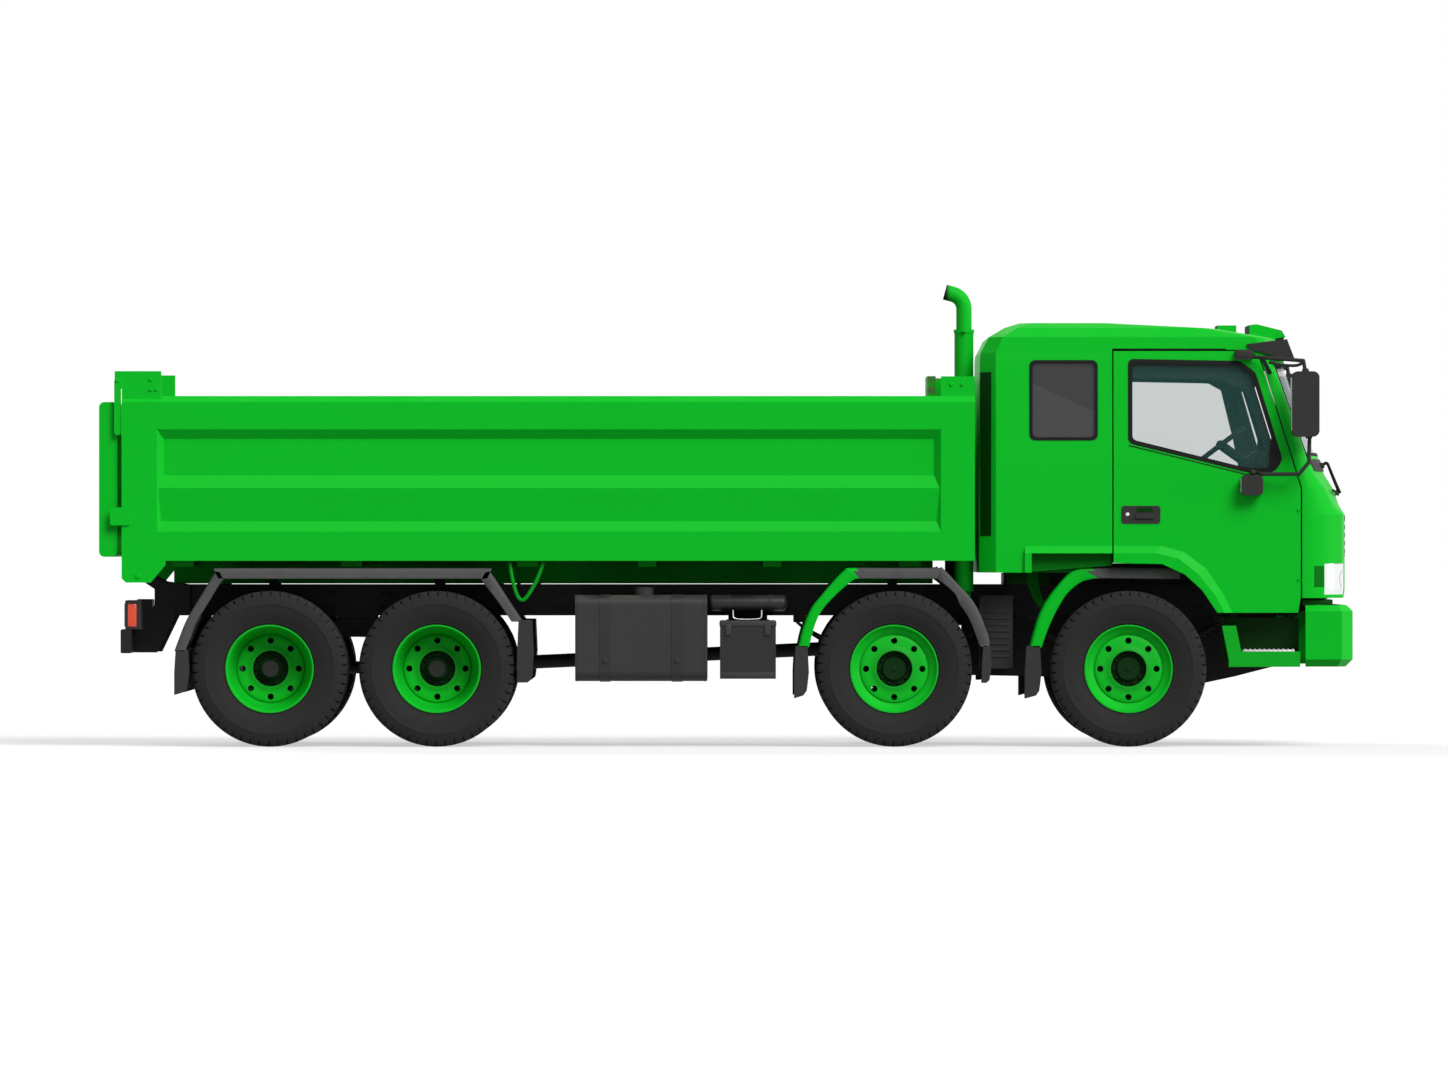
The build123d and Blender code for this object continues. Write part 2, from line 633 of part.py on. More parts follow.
horn_x = (RAIL_X[1], BUMPER_X[1] - BUMPER_WALL + 1)
for low, high in ((-RAIL_OUTER_Y, -RAIL_OUTER_Y + 60), (RAIL_OUTER_Y - 60, RAIL_OUTER_Y)):
    bumper += block(horn_x, (low, high), (BUMPER_Z[0] + 60, RAIL_Z[0]))
    bumper += block((RAIL_X[1] - 150, RAIL_X[1] + 1), (low, high), (RAIL_Z[0] - 110, RAIL_Z[0]))
write("front_bumper", bumper)

STEP_X = (3620.0, 4134.0)
STEP_Y = (960.0, 1240.0)
STEP_Z = (577.0, 688.0)


def cab_step():
    """The right boarding step: tread box, slanted strut, back plate and the arm to the rail."""
    step = block(STEP_X, (-STEP_Y[1], -STEP_Y[0]), STEP_Z)
    strut = [(3571, 873), (3671, 873), (STEP_X[0] + 90, STEP_Z[1] - 5), (STEP_X[0], STEP_Z[0] + 50)]
    step += side_plate(strut, (-STEP_Y[1], -STEP_Y[0]))
    step += block((3571, STEP_X[1]), (-STEP_Y[0] - 20, -STEP_Y[0]), (STEP_Z[0] + 50, 930))
    for x in (3640, 4060):
        step += block((x, x + 50), (-STEP_Y[0] - 5, -RAIL_OUTER_Y - 50), (RAIL_Z[0] - 40, RAIL_Z[0] + 15))
        step += block((x, x + 50), (-RAIL_OUTER_Y - 60, -RAIL_OUTER_Y), (RAIL_Z[0] - 40, RAIL_Z[0] + 60))
        step += block((x, x + 50), (-STEP_Y[0] - 5, -STEP_Y[0]), (RAIL_Z[0] - 60, RAIL_Z[0] + 15))
    return step


write("cab_steps", both(cab_step()))

UNDERRUN_X = (-4366.0, -4289.0)
UNDERRUN_Y = 1150.0
UNDERRUN_Z = (674.0, 847.0)


def underrun_bar():
    """The rear underrun bar on two arms that reach back from the rails."""
    bar = block(UNDERRUN_X, (-UNDERRUN_Y, UNDERRUN_Y), UNDERRUN_Z)
    bar = fillet(bar.edges().filter_by(Axis.Y), 12)
    arm = [
        (UNDERRUN_X[1] - 5, UNDERRUN_Z[0]),
        (RAIL_X[0] + 20, UNDERRUN_Z[0]),
        (RAIL_X[0] + 150, RAIL_Z[0]),
        (RAIL_X[0] + 150, RAIL_Z[1] - 150),
        (RAIL_X[0], RAIL_Z[1] - 150),
        (UNDERRUN_X[1] - 5, UNDERRUN_Z[1]),
    ]
    arm_plate = side_plate(arm, (-RAIL_OUTER_Y - 15, -RAIL_OUTER_Y))
    return bar + arm_plate + flip(arm_plate)


write("underrun_bar", underrun_bar())

LAMP_X = (-4335.0, -4219.0)
LAMP_Y = (760.0, 1105.0)
LAMP_Z = (UNDERRUN_Z[1], 1056.0)
tail_lamp = block(LAMP_X, (-LAMP_Y[1], -LAMP_Y[0]), LAMP_Z)
write("tail_lamps", both(fillet(tail_lamp.edges().filter_by(Axis.Y), 10)))

# ---------------------------------------------------------------------------- load bed

BED_INNER_Y = BED_OUTER_Y - BED_WALL
FLOOR_TOP_Z = BED_Z[0] + BED_FLOOR
POST_FOOT_Z = 1184.0
# The pressed side: height and depth of each fold, from the top fold down
SIDE_FOLDS = [(2288, 0), (2219, 55), (1957, 55), (1865, 10), (1626, 34), (1551, 0)]
SIDE_PRESSING_X = (-4100.0, 1546.0)
SIDE_PRESSING_BEVEL = 48.0
HOOK_PLATE_X = (-4405.0, -4070.0)
HOOK_PLATE_Z = (BED_Z[1], 2707.0)
WING_PLATE = ((1548, 1791), (BED_Z[1], 2670))


def bed_side():
    """The right side: a thick panel with a folded pressing, a foot at the rear post, the plate that
    hangs the tailgate and the raised plate at the front."""
    outer = -BED_OUTER_Y
    side = block(BED_X, (outer, -BED_INNER_Y), BED_Z)
    chamfered = side.edges().filter_by(Axis.X).group_by(Axis.Z)[-1].sort_by(Axis.Y)[0]
    side = chamfer(chamfered, BED_TOP_CHAMFER)
    deepest = max(depth for height, depth in SIDE_FOLDS)
    fold_line = [(outer - 5, SIDE_FOLDS[0][0])]
    fold_line += [(outer + depth, height) for height, depth in SIDE_FOLDS]
    fold_line += [(outer - 5, SIDE_FOLDS[-1][0])]
    low_x, high_x = SIDE_PRESSING_X
    fold_face = Plane.YZ.offset(low_x) * make_face(Polyline(*fold_line, close=True))
    pressing = extrude(fold_face, high_x - low_x)
    bevel = SIDE_PRESSING_BEVEL
    plan = [(low_x, outer - 5), (low_x, outer), (low_x + bevel, outer + deepest)]
    plan += [(high_x - bevel, outer + deepest), (high_x, outer), (high_x, outer - 5)]
    pressing &= Pos(0, 0, BED_Z[0]) * extrude(make_face(Polyline(*plan, close=True)), BED_Z[1] - BED_Z[0])
    side -= pressing
    foot = [
        (BED_X[0], BED_Z[0] + 1),
        (BED_X[0], POST_FOOT_Z + 30),
        (BED_X[0] + 30, POST_FOOT_Z),
        (-4145, POST_FOOT_Z),
        (-4038, 1312),
        (-4038, BED_Z[0] + 1),
    ]
    side += side_plate(foot, (outer, -BED_INNER_Y))
    hook = side_face(box_points(HOOK_PLATE_X, (HOOK_PLATE_Z[0] - 30, HOOK_PLATE_Z[1])), outer + 58, 0)
    hook = extrude(hook, 36)
    side += hook - block((HOOK_PLATE_X[0] - 1, BED_X[0]), (outer - 1, outer + 60), (2400, 2580))
    wing_x, wing_z = WING_PLATE
    wing = block(wing_x, (outer + BED_TOP_CHAMFER + 2, -BED_INNER_Y), (BED_Z[1] - 1, wing_z[1]))
    gate_pin_hole = pin(*GATE_AXIS, GATE_PIN_RADIUS + FIT, (outer - 1, -BED_INNER_Y + 1))
    return side + wing - gate_pin_hole


write("bed_sides", both(bed_side()))

# The recess in the headboard and floor that leaves the leaning hoist its room
RECESS_HALF = HOIST_RADIUS + 45.0
RECESS_WALL = 15.0
RECESS_FOOT_X = 1185.0
RECESS_TOP = (1512.0, 2305.0)
FLOOR_BEAM_Y = (RAIL_OUTER_Y - 90.0, RAIL_OUTER_Y)
FLOOR_BEAM_Z = 1175.0
# Centre x and width of each cross bearer under the floor
BEARERS = [(-3917, 150), (-2700, 150), (-1433, 150), (-570, 130), (330, 130), (1325, 160)]


def bed_floor():
    """The floor plate on its two long beams and cross bearers, with the hinge lugs at the rear."""
    floor = block((BED_X[0], HEADBOARD_X[1]), (-BED_INNER_Y, BED_INNER_Y), (BED_Z[0], FLOOR_TOP_Z))
    for side in (-1, 1):
        beam_y = sorted((side * FLOOR_BEAM_Y[0], side * FLOOR_BEAM_Y[1]))
        floor += block((-4010, HEADBOARD_X[1] - 20), beam_y, (FLOOR_BEAM_Z, BED_Z[0] + 1))
        lug_y = sorted((side * (HINGE_BRACKET_Y[1] + 8), side * (HINGE_BRACKET_Y[1] + 58)))
        x, z = TIP_AXIS
        lug = [(x - 38, z), (x + 38, z), (x + 150, BED_Z[0] + 1), (x - 38, BED_Z[0] + 1)]
        floor += side_plate(lug, lug_y) + pin(x, z, 38, lug_y)
        floor -= pin(x, z, TIP_PIN_RADIUS + FIT, (lug_y[0] - 1, lug_y[1] + 1))
    for centre, width in BEARERS:
        reach = (-BED_INNER_Y + 30, BED_INNER_Y - 30)
        floor += block((centre - width / 2, centre + width / 2), reach, (BED_Z[0] - 43, BED_Z[0] + 1))
    notch_x = (RECESS_FOOT_X, HEADBOARD_X[1] + 10)
    return floor - block(notch_x, (-RECESS_HALF, RECESS_HALF), (FLOOR_BEAM_Z, FLOOR_TOP_Z + 10))


write("bed_floor", bed_floor())

ROD_RADIUS = HOIST_RADIUS - 3 * (HOIST_WALL + HOIST_SLIDE_GAP)
EAR_Y = (ROD_RADIUS + 8, ROD_RADIUS + 40)
EAR_RADIUS = 70.0


def headboard():
    """The front wall of the bed with the two ears that take the hoist's eye."""
    wall = block(HEADBOARD_X, (-BED_INNER_Y, BED_INNER_Y), (FLOOR_TOP_Z, BED_Z[1]))
    wall += block(HEADBOARD_X, (-500, 500), (BED_Z[1] - 1, HOIST_EYE_Z + 80))
    top_x, top_z = RECESS_TOP
    front_x = HEADBOARD_X[1]
    housing = [
        (RECESS_FOOT_X - 25, FLOOR_TOP_Z),
        (top_x - 17, top_z + 40),
        (front_x, top_z + 40),
        (front_x, FLOOR_TOP_Z),
    ]
    void = [(RECESS_FOOT_X, FLOOR_TOP_Z - 10), (RECESS_FOOT_X, FLOOR_TOP_Z), (top_x, top_z)]
    void += [(front_x + 10, top_z), (front_x + 10, FLOOR_TOP_Z - 10)]
    housing_half = RECESS_HALF + RECESS_WALL
    wall += side_plate(housing, (-housing_half, housing_half))
    wall -= side_plate(void, (-RECESS_HALF, RECESS_HALF))
    for side in (-1, 1):
        ear_y = sorted((side * EAR_Y[0], side * EAR_Y[1]))
        ear_z = (HOIST_EYE_Z - EAR_RADIUS, HOIST_EYE_Z + EAR_RADIUS)
        ear = block((HEADBOARD_X[1] - 1, HOIST_X), ear_y, ear_z)
        ear += pin(HOIST_X, HOIST_EYE_Z, EAR_RADIUS, ear_y)
        wall += ear - pin(HOIST_X, HOIST_EYE_Z, EYE_PIN_RADIUS, (ear_y[0] - 1, ear_y[1] + 1))
    return wall


write("headboard", headboard())

GATE_HALF = BED_OUTER_Y - 55.0
GATE_PLUG_X = -4345.0
GATE_PLUG_Z = (1541.0, 2246.0)
ARM_X = (-4405.0, -4362.0)
# Height range of each pressed panel in the tailgate's rear face
GATE_PANELS = [(1470, 1760), (1830, 2080), (2150, 2400)]


def tailgate():
    """The rear wall: a rounded panel with pressed fields, a plug towards the load and the two arms
    by which it hangs from its pins."""
    gate = block(GATE_X, (-GATE_HALF, GATE_HALF), GATE_Z)
    gate = fillet(gate.edges().filter_by(Axis.Y), 40)
    for low, high in GATE_PANELS:
        for side in (-1, 1):
            span = sorted((side * 60, side * (GATE_HALF - 110)))
            gate -= block((GATE_X[0] - 1, GATE_X[0] + 35), span, (low, high))
    gate += block((GATE_X[1] - 1, GATE_PLUG_X), (-BED_INNER_Y + 40, BED_INNER_Y - 40), GATE_PLUG_Z)
    for side in (-1, 1):
        outer_y = BED_OUTER_Y - 62
        arm_y = sorted((side * outer_y, side * (outer_y - 30)))
        arm = block(ARM_X, arm_y, (2243, GATE_AXIS[1]))
        arm += block((GATE_X[1] - 10, ARM_X[1]), arm_y, (2243, 2420))
        arm += pin(*GATE_AXIS, GATE_PIN_RADIUS + 8, arm_y)
        gate += arm + pin(*GATE_AXIS, GATE_PIN_RADIUS, sorted((side * outer_y, side * (outer_y + 55))))
    return gate


write("tailgate", tailgate())

# ---------------------------------------------------------------------------- hoist


def hoist_tube(step):
    """One tube of the telescope: step 0 is the barrel, each next one slides in the last."""
    radius = HOIST_RADIUS - step * (HOIST_WALL + HOIST_SLIDE_GAP)
    base = HOIST_BASE_Z + step * HOIST_STEP
    top = base + HOIST_LENGTH
    tube = post(HOIST_X, 0, radius, (base, top))
    return tube, radius, base, top


for step in range(3):
    tube, radius, base, top = hoist_tube(step)
    tube -= post(HOIST_X, 0, radius - HOIST_WALL, (base + HOIST_STEP, top + 1))
    if step == 0:
        stub = pin(HOIST_X, HOIST_TRUNNION_Z, TRUNNION_RADIUS, (HOIST_RADIUS - 8, TRUNNION_PLATE_Y[1]))
        tube += stub + flip(stub)
        write("hoist_barrel", tube)
    else:
        write(f"hoist_stage_{step}", tube)
rod_foot = HOIST_BASE_Z + 3 * HOIST_STEP
eye = pin(HOIST_X, HOIST_EYE_Z, EAR_RADIUS - 8, (2 - ROD_RADIUS, ROD_RADIUS - 2))
eye -= pin(HOIST_X, HOIST_EYE_Z, EYE_PIN_RADIUS, (-ROD_RADIUS, ROD_RADIUS))
write("hoist_stage_3", post(HOIST_X, 0, ROD_RADIUS, (rod_foot, HOIST_EYE_Z - 50)) + eye)

# ---------------------------------------------------------------------------- cab

# Horizontal sections of the cab from the sill to the roof:
# height, rear x, x where the side begins, half width, x where the front corner begins,
# x and y where it ends, foremost x
CAB_SECTIONS = [
    (900, 1823, 1942, 1240, 4170, 4420, 1040, 4475),
    (1137, 1823, 1942, 1240, 4170, 4448, 1050, 4500),
    (1675, 1823, 1942, 1240, 4170, 4448, 1050, 4500),
    (1745, 1824, 1942, 1240, 4168, 4385, 1060, 4460),
    (1866, 1825, 1942, 1240, 4160, 4325, 1090, 4420),
    (1966, 1826, 1942, 1240, 4130, 4240, 1130, 4357),
    (2076, 1827, 1942, 1238, 4092, 4188, 1140, 4318),
    (2786, 1832, 1942, 1208, 3869, 3935, 1130, 4062),
    (2841, 1836, 1942, 1203, 3852, 3915, 1125, 4043),
    (2890, 1862, 1966, 1200, 3830, 3895, 1115, 4025),
    (2952, 1892, 1990, 1196, 3800, 3875, 1100, 4007),
    (3020, 2006, 2100, 1130, 3380, 3460, 1030, 3607),
    (3056, 2119, 2200, 1040, 2680, 2760, 940, 2898),
]
REAR_CHAMFER = 110.0
CEILING_Z = 2890.0


def cab_section(z, rear, side_x, half, corner_x, end_x, end_y, front, inset):
    """A closed horizontal outline: flat rear, bevelled rear corners, round front corners and a
    gently bowed front, moved inwards by the inset."""
    rear, side_x, half, front = rear + inset, side_x + inset / 2, half - inset, front - inset
    end_x, end_y = end_x - inset, end_y - inset / 2
    corner_x = corner_x - inset / 4
    rear_y = half - REAR_CHAMFER + inset / 2
    left = [(rear, -rear_y), (rear, rear_y), (side_x, half), (corner_x, half)]
    with BuildSketch(Plane.XY.offset(z)) as section:
        with BuildLine():
            Polyline(*left)
            TangentArc((corner_x, half), (end_x, end_y), tangent=(1, 0))
            ThreePointArc((end_x, end_y), (front, 0), (end_x, -end_y))
            TangentArc((corner_x, -half), (end_x, -end_y), tangent=(1, 0))
            Polyline((corner_x, -half), (side_x, -half), (rear, -rear_y))
        make_face()
    return section.sketch


def cab_body(inset, top=None):
    rows = [row for row in CAB_SECTIONS if top is None or row[0] <= top]
    return loft([cab_section(*row, inset) for row in rows], ruled=True)


cab_outer = cab_body(0)
cab_inner = cab_body(CAB_WALL, CEILING_Z)
shell = cab_outer - cab_inner

DOOR_OUTLINE = [
    (2780, 2862),
    (3760, 2862),
    (3850, 2800),
    (3893, 2678),
    (4148, 1865),
    (4148, 1080),
    (4127, 957),
    (3532, 957),
    (3420, 1122),
    (3299, 1233),
    (3137, 1308),
    (2780, 1314),
]
DOOR_WINDOW = [(2896, 2794), (3701, 2779), (3812, 2698), (4006, 2070)]
DOOR_WINDOW += [(3950, 1981), (3742, 1981), (2896, 2190)]
QUARTER_WINDOW = box_points((2185, 2675), (2209, 2785))
# The flare's upper edge on the panel and its lower, proud edge, from the rear to the front
FLARE_EDGE = [(2199, 1447), (3137, 1449), (3299, 1406), (3460, 1284), (3582, 1102), (3653, 957)]
FLARE_CREST = [(2199, 1395), (3097, 1395), (3259, 1355), (3400, 1244), (3521, 1092), (3593, 957)]
FLARE_DEPTH = 30.0
SIDE_SPAN = (-1300.0, -1000.0)


def flare():
    """The right wheel-arch flare as one sloped band with a flat crest under it."""
    foot = [(FLARE_EDGE[-1][0] + 60, 800), (2150, 800), (2150, FLARE_EDGE[0][1])]
    crest_foot = [(FLARE_CREST[-1][0] + 60, 800), (2150, 800), (2150, FLARE_CREST[0][1])]
    low = side_face([*FLARE_EDGE, *foot], -1239)
    high = side_face([*FLARE_CREST, *crest_foot], -1240 - FLARE_DEPTH)
    return loft([low, high], ruled=True)


right_flare = flare()
door_window = side_plate(DOOR_WINDOW, SIDE_SPAN, 45)
quarter_window = side_plate(QUARTER_WINDOW, SIDE_SPAN, 50)
door_face = offset(make_face(Polyline(*DOOR_OUTLINE, close=True)), -DOOR_GAP, kind=Kind.INTERSECTION)
door_prism = extrude(Plane.XZ.offset(-SIDE_SPAN[1]) * door_face, SIDE_SPAN[1] - SIDE_SPAN[0])
DOOR_HINGE = (4120.0, -1237.0)
DOOR_HINGE_Z = (1200.0, 1700.0)
HINGE_LEAF = 6.0
HINGE_PIN_RADIUS = 5.0


def door_hinge_pin(z, radius):
    return post(*DOOR_HINGE, radius, (z - 22, z + 22))


def door_hinge_leaf(z):
    """The leaf on the front pillar that holds the right door's pin."""
    x, y = DOOR_HINGE
    height = (z - HINGE_LEAF / 2, z + HINGE_LEAF / 2)
    leaf = block((x, 4150), (y - 9, y + 9), height) + post(x, y, 9, height)
    return leaf + door_hinge_pin(z, HINGE_PIN_RADIUS)


right_door = (shell + right_flare) & door_prism
right_door -= door_window
for z in DOOR_HINGE_Z:
    x, y = DOOR_HINGE
    notch = block((x - 12, 4150), (-1260, y + 12), (z - HINGE_LEAF / 2 - 2, z + HINGE_LEAF / 2 + 2))
    right_door = right_door - notch - door_hinge_pin(z, HINGE_PIN_RADIUS + FIT)
glass_shell = cab_body(GLASS_DEPTH) - cab_body(GLASS_DEPTH + GLASS_THICKNESS)
right_glass = glass_shell & door_window
write("right_door", right_door)
write("left_door", flip(right_door))
write("right_door_glass", right_glass)
write("left_door_glass", flip(right_glass))

SIDE_JOINT_X = 1960.0
PILLAR_LINE = [(3600, 2862), (3760, 2862), (3850, 2800), (3893, 2678), (4148, 1865), (4148, 1080)]


def quarter_panel():
    """The right panel between the rear wall and the door, with its window and the flare's end."""
    outline = [(SIDE_JOINT_X, ROOF_SPLIT_Z), (2780, ROOF_SPLIT_Z), (2780, 1395)]
    outline += [(2199, 1395), (2199, 1256), (SIDE_JOINT_X, 1256)]
    return ((shell + right_flare) & side_plate(outline, SIDE_SPAN)) - quarter_window


write("cab_sides", both(quarter_panel()))

rear_wall = shell & block((1700, SIDE_JOINT_X), (-1300, 1300), (1256, ROOF_SPLIT_Z))
write("cab_rear_wall", rear_wall)

WINDSCREEN_Z = (2100.0, 2765.0)
WINDSCREEN_HALF = (1135.0, 1120.0)
LAMP_BLOCK = ((4250, 4530), (740, 1205), (1098, 1322))
screen_outline = [
    (-WINDSCREEN_HALF[0], WINDSCREEN_Z[0]),
    (WINDSCREEN_HALF[0], WINDSCREEN_Z[0]),
    (WINDSCREEN_HALF[1], WINDSCREEN_Z[1]),
    (-WINDSCREEN_HALF[1], WINDSCREEN_Z[1]),
]
screen_face = fillet(make_face(Polyline(*screen_outline, close=True)).vertices(), 60)
screen_prism = extrude(Plane.YZ.offset(3870) * screen_face, 600)
head_lamp_cut = block(LAMP_BLOCK[0], (-LAMP_BLOCK[1][1], -LAMP_BLOCK[1][0]), LAMP_BLOCK[2])


def cab_front():
    """Front panel, screen pillars and the header over the windscreen, in one frame."""
    ahead = [*PILLAR_LINE, (4148, 1073), (4600, 1073), (4600, ROOF_SPLIT_Z), (3600, ROOF_SPLIT_Z)]
    frame = shell & side_plate(ahead, (-1300, 1300))
    for z in DOOR_HINGE_Z:
        leaf = door_hinge_leaf(z)
        frame = frame + leaf + flip(leaf)
    return frame - screen_prism - head_lamp_cut - flip(head_lamp_cut)


write("cab_front", cab_front())
quarter_glass = glass_shell & quarter_window
write("cab_glass", together(glass_shell & screen_prism, both(quarter_glass)))
lamp_shell = cab_body(4) - cab_body(CAB_WALL - 4)
write("headlamps", both(lamp_shell & head_lamp_cut))

BROW = [(3800, 2925), (3800, 3052), (3852, 3058), (4035, 3012), (4062, 2965)]
BROW_HALF = 450.0
HATCH = ((3575, 3711), (-280, 280), (2960, 3052))
roof = shell & block((1700, 4600), (-1300, 1300), (ROOF_SPLIT_Z, 3100))
roof += side_plate(BROW, (-BROW_HALF, BROW_HALF)) + block(*HATCH)
write("cab_roof", roof)

VISOR = [(3752, 2903), (4040, 2938), (4092, 2801), (4030, 2792), (3909, 2828), (3775, 2865)]
visor = side_plate(VISOR, (-1222, 1222)) - cab_outer - side_plate(BROW, (-BROW_HALF, BROW_HALF))
visor = max(visor.solids(), key=lambda solid: solid.volume)
write("sun_visor", visor)

FLOOR_X = (1900.0, 4370.0)
LUG_Y = (RAIL_OUTER_Y + 6, RAIL_OUTER_Y + 46)
SILL_LINE = [(1990, 1256), (2470, 1256), (2520, 1302), (2785, 1302)]


def cab_floor():
    """The floor plate with its side sills and the lugs of the tilt hinge."""
    floor = block(FLOOR_X, (-1170, 1170), CAB_FLOOR_Z) & cab_body(CAB_WALL + FIT)
    x, z = TILT_AXIS
    tongue_y = LUG_Y[1] + 20
    tongue_x = (FLOOR_X[1] - 1, x + TILT_EYE_RADIUS)
    floor += block(tongue_x, (-tongue_y, tongue_y), CAB_FLOOR_Z)
    for side in (-1, 1):
        sill_y = sorted((side * 1100, side * 1170))
        sill = side_plate([*SILL_LINE, (2785, CAB_FLOOR_Z[0] + 1), (1990, CAB_FLOOR_Z[0] + 1)], sill_y)
        lug_y = sorted((side * LUG_Y[0], side * LUG_Y[1]))
        lug = block((x - TILT_EYE_RADIUS, x + TILT_EYE_RADIUS), lug_y, (z, CAB_FLOOR_Z[0] + 1))
        floor += sill + lug + pin(x, z, TILT_EYE_RADIUS, lug_y)
        floor -= pin(x, z, TILT_PIN_RADIUS + FIT, (lug_y[0] - 1, lug_y[1] + 1))
    return floor


write("cab_floor", cab_floor())

DASH_FOOT_Z = CAB_FLOOR_Z[1] + 350
DASH = [(4020, DASH_FOOT_Z), (4060, 2060), (4150, 2080), (4200, 2060), (4230, 1900), (4260, DASH_FOOT_Z)]
WHEEL_CENTRE = (3631, 620, 2189)
WHEEL_AXIS = (-0.6, 0, 0.8)
WHEEL_RADIUS = 205.0
COLUMN_FOOT = (4060, 620, 1880)


def dashboard():
    """The dash across the cab with the steering column and wheel on the left, on two legs."""
    dash = side_plate(DASH, (-1120, 1120))
    dash += block((4120, 4230), (-1120, 1120), (CAB_FLOOR_Z[1], DASH_FOOT_Z + 1))
    dash &= cab_body(CAB_WALL)
    dash += rod(WHEEL_CENTRE, COLUMN_FOOT, 35)
    wheel_plane = Plane(origin=WHEEL_CENTRE, x_dir=(0, 1, 0), z_dir=WHEEL_AXIS)
    dash += wheel_plane * Torus(WHEEL_RADIUS, 16)
    spoke = Pos(WHEEL_RADIUS / 2 + 2, 0, 0) * Box(WHEEL_RADIUS - 5, 36, 12)
    for turn in (0, 120, 240):
        dash += wheel_plane * (Rot(0, 0, turn + 90) * spoke)
    return dash


write("dashboard", dashboard())

SEAT_X = (2900.0, 3380.0)
SEAT_Y = 620.0
SEAT_HALF = 250.0


def seat():
    """A seat on its pedestal: cushion, backrest and headrest."""
    y = (SEAT_Y - SEAT_HALF, SEAT_Y + SEAT_HALF)
    pedestal = block((SEAT_X[0] + 60, SEAT_X[1] - 60), (y[0] + 60, y[1] - 60), (CAB_FLOOR_Z[1], 1731))
    cushion = block(SEAT_X, y, (1730, 1860))
    cushion = fillet(cushion.edges(), 40)
    rear = SEAT_X[0]
    back = side_plate([(rear - 30, 1780), (rear + 110, 1780), (rear - 30, 2400), (rear - 150, 2400)], y)
    back = fillet(back.edges().filter_by(Axis.Y, reverse=True), 35)
    head = block((rear - 165, rear - 60), (SEAT_Y - 130, SEAT_Y + 130), (2380, 2570))
    return pedestal + cushion + back + fillet(head.edges(), 35)


write("seats", both(seat()))

# ---------------------------------------------------------------------------- mirrors

MIRROR_X = (4065.0, 4262.0)
MIRROR_Y = (1290.0, 1490.0)
MIRROR_Z = (2233.0, 2703.0)
SMALL_MIRROR_X = (3705.0, 3862.0)
SMALL_MIRROR_Z = (1813.0, 1957.0)
ARM_RADIUS = 14.0
UPPER_ARM = [(3760, 1228, 2812), (3900, 1330, 2800), (4150, 1390, 2780), (4165, 1390, 2700)]
LOWER_ARM = [(3790, 1225, 1985), (3850, 1330, 1965), (4120, 1380, 1965)]
LOWER_ARM += [(4190, 1385, 2050), (4195, 1385, 2240)]


def mirror_set():
    """The right door's mirrors on their arms: a tall one ahead and a small one below."""
    def right(points):
        return [(x, -y, z) for x, y, z in points]

    housing = block(MIRROR_X, (-MIRROR_Y[1], -MIRROR_Y[0]), MIRROR_Z)
    housing = fillet(housing.edges().filter_by(Axis.Y), 45)
    small = block(SMALL_MIRROR_X, (-1360, -1255), SMALL_MIRROR_Z)
    small = fillet(small.edges().filter_by(Axis.Y), 30)
    small += rod((3790, -1300, 1950), (3790, -1300, 1975), ARM_RADIUS + 4)
    small += rod((3790, -1225, 1980), (3790, -1310, 1975), ARM_RADIUS + 8)
    foot = block((3663, 3788), (-1262, -1180), (2790, 2824))
    arms = bar_chain(right(UPPER_ARM), ARM_RADIUS) + bar_chain(right(LOWER_ARM), ARM_RADIUS)
    return housing + small + foot + arms - cab_outer


write("right_mirrors", mirror_set())
write("left_mirrors", flip(mirror_set()))
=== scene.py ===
"""The finished dump truck: every visible piece, its surface and the studio it stands in.

Metres, in the frame of the model: +X forward, +Y the truck's left side, +Z up, ground at zero.
"""
import math

import bmesh
import bpy
from mathutils import Matrix, Vector


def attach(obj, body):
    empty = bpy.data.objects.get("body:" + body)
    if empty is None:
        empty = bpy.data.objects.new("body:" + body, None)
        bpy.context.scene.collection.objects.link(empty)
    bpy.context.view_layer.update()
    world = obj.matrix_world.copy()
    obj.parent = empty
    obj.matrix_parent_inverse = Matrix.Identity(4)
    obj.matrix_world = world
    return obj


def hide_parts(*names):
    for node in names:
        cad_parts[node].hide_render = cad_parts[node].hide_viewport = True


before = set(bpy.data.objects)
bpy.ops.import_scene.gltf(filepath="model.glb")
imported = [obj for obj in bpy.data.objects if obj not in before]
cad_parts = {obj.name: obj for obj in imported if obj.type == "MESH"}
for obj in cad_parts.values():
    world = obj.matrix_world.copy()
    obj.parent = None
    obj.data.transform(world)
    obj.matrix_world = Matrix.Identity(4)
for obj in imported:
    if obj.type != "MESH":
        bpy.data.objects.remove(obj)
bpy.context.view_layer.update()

# ------------------------------------------------------------------ studio
# A level camera far off the truck's right side, at the height of a man's chest.
# The floor is a pale sheet that runs out to a white surround.

CAMERA_PLACE = (-0.016, -96.25, 1.469)
camera_data = bpy.data.cameras.new("side_camera")
camera_data.lens = 328.0
camera_data.sensor_width = 36.0
camera_data.clip_end = 600.0
camera = bpy.data.objects.new("side_camera", camera_data)
camera.location = CAMERA_PLACE
camera.rotation_euler = (math.radians(90), 0, 0)
bpy.context.scene.collection.objects.link(camera)
bpy.context.scene.camera = camera
bpy.context.scene.view_settings.view_transform = "Standard"


def paint(red, green, blue):
    """A colour chart's 0 to 255 values as the light they reflect."""
    shares = [value / 255 for value in (red, green, blue)]
    return (*(s / 12.92 if s < 0.0405 else ((s + 0.055) / 1.055) ** 2.4 for s in shares), 1.0)


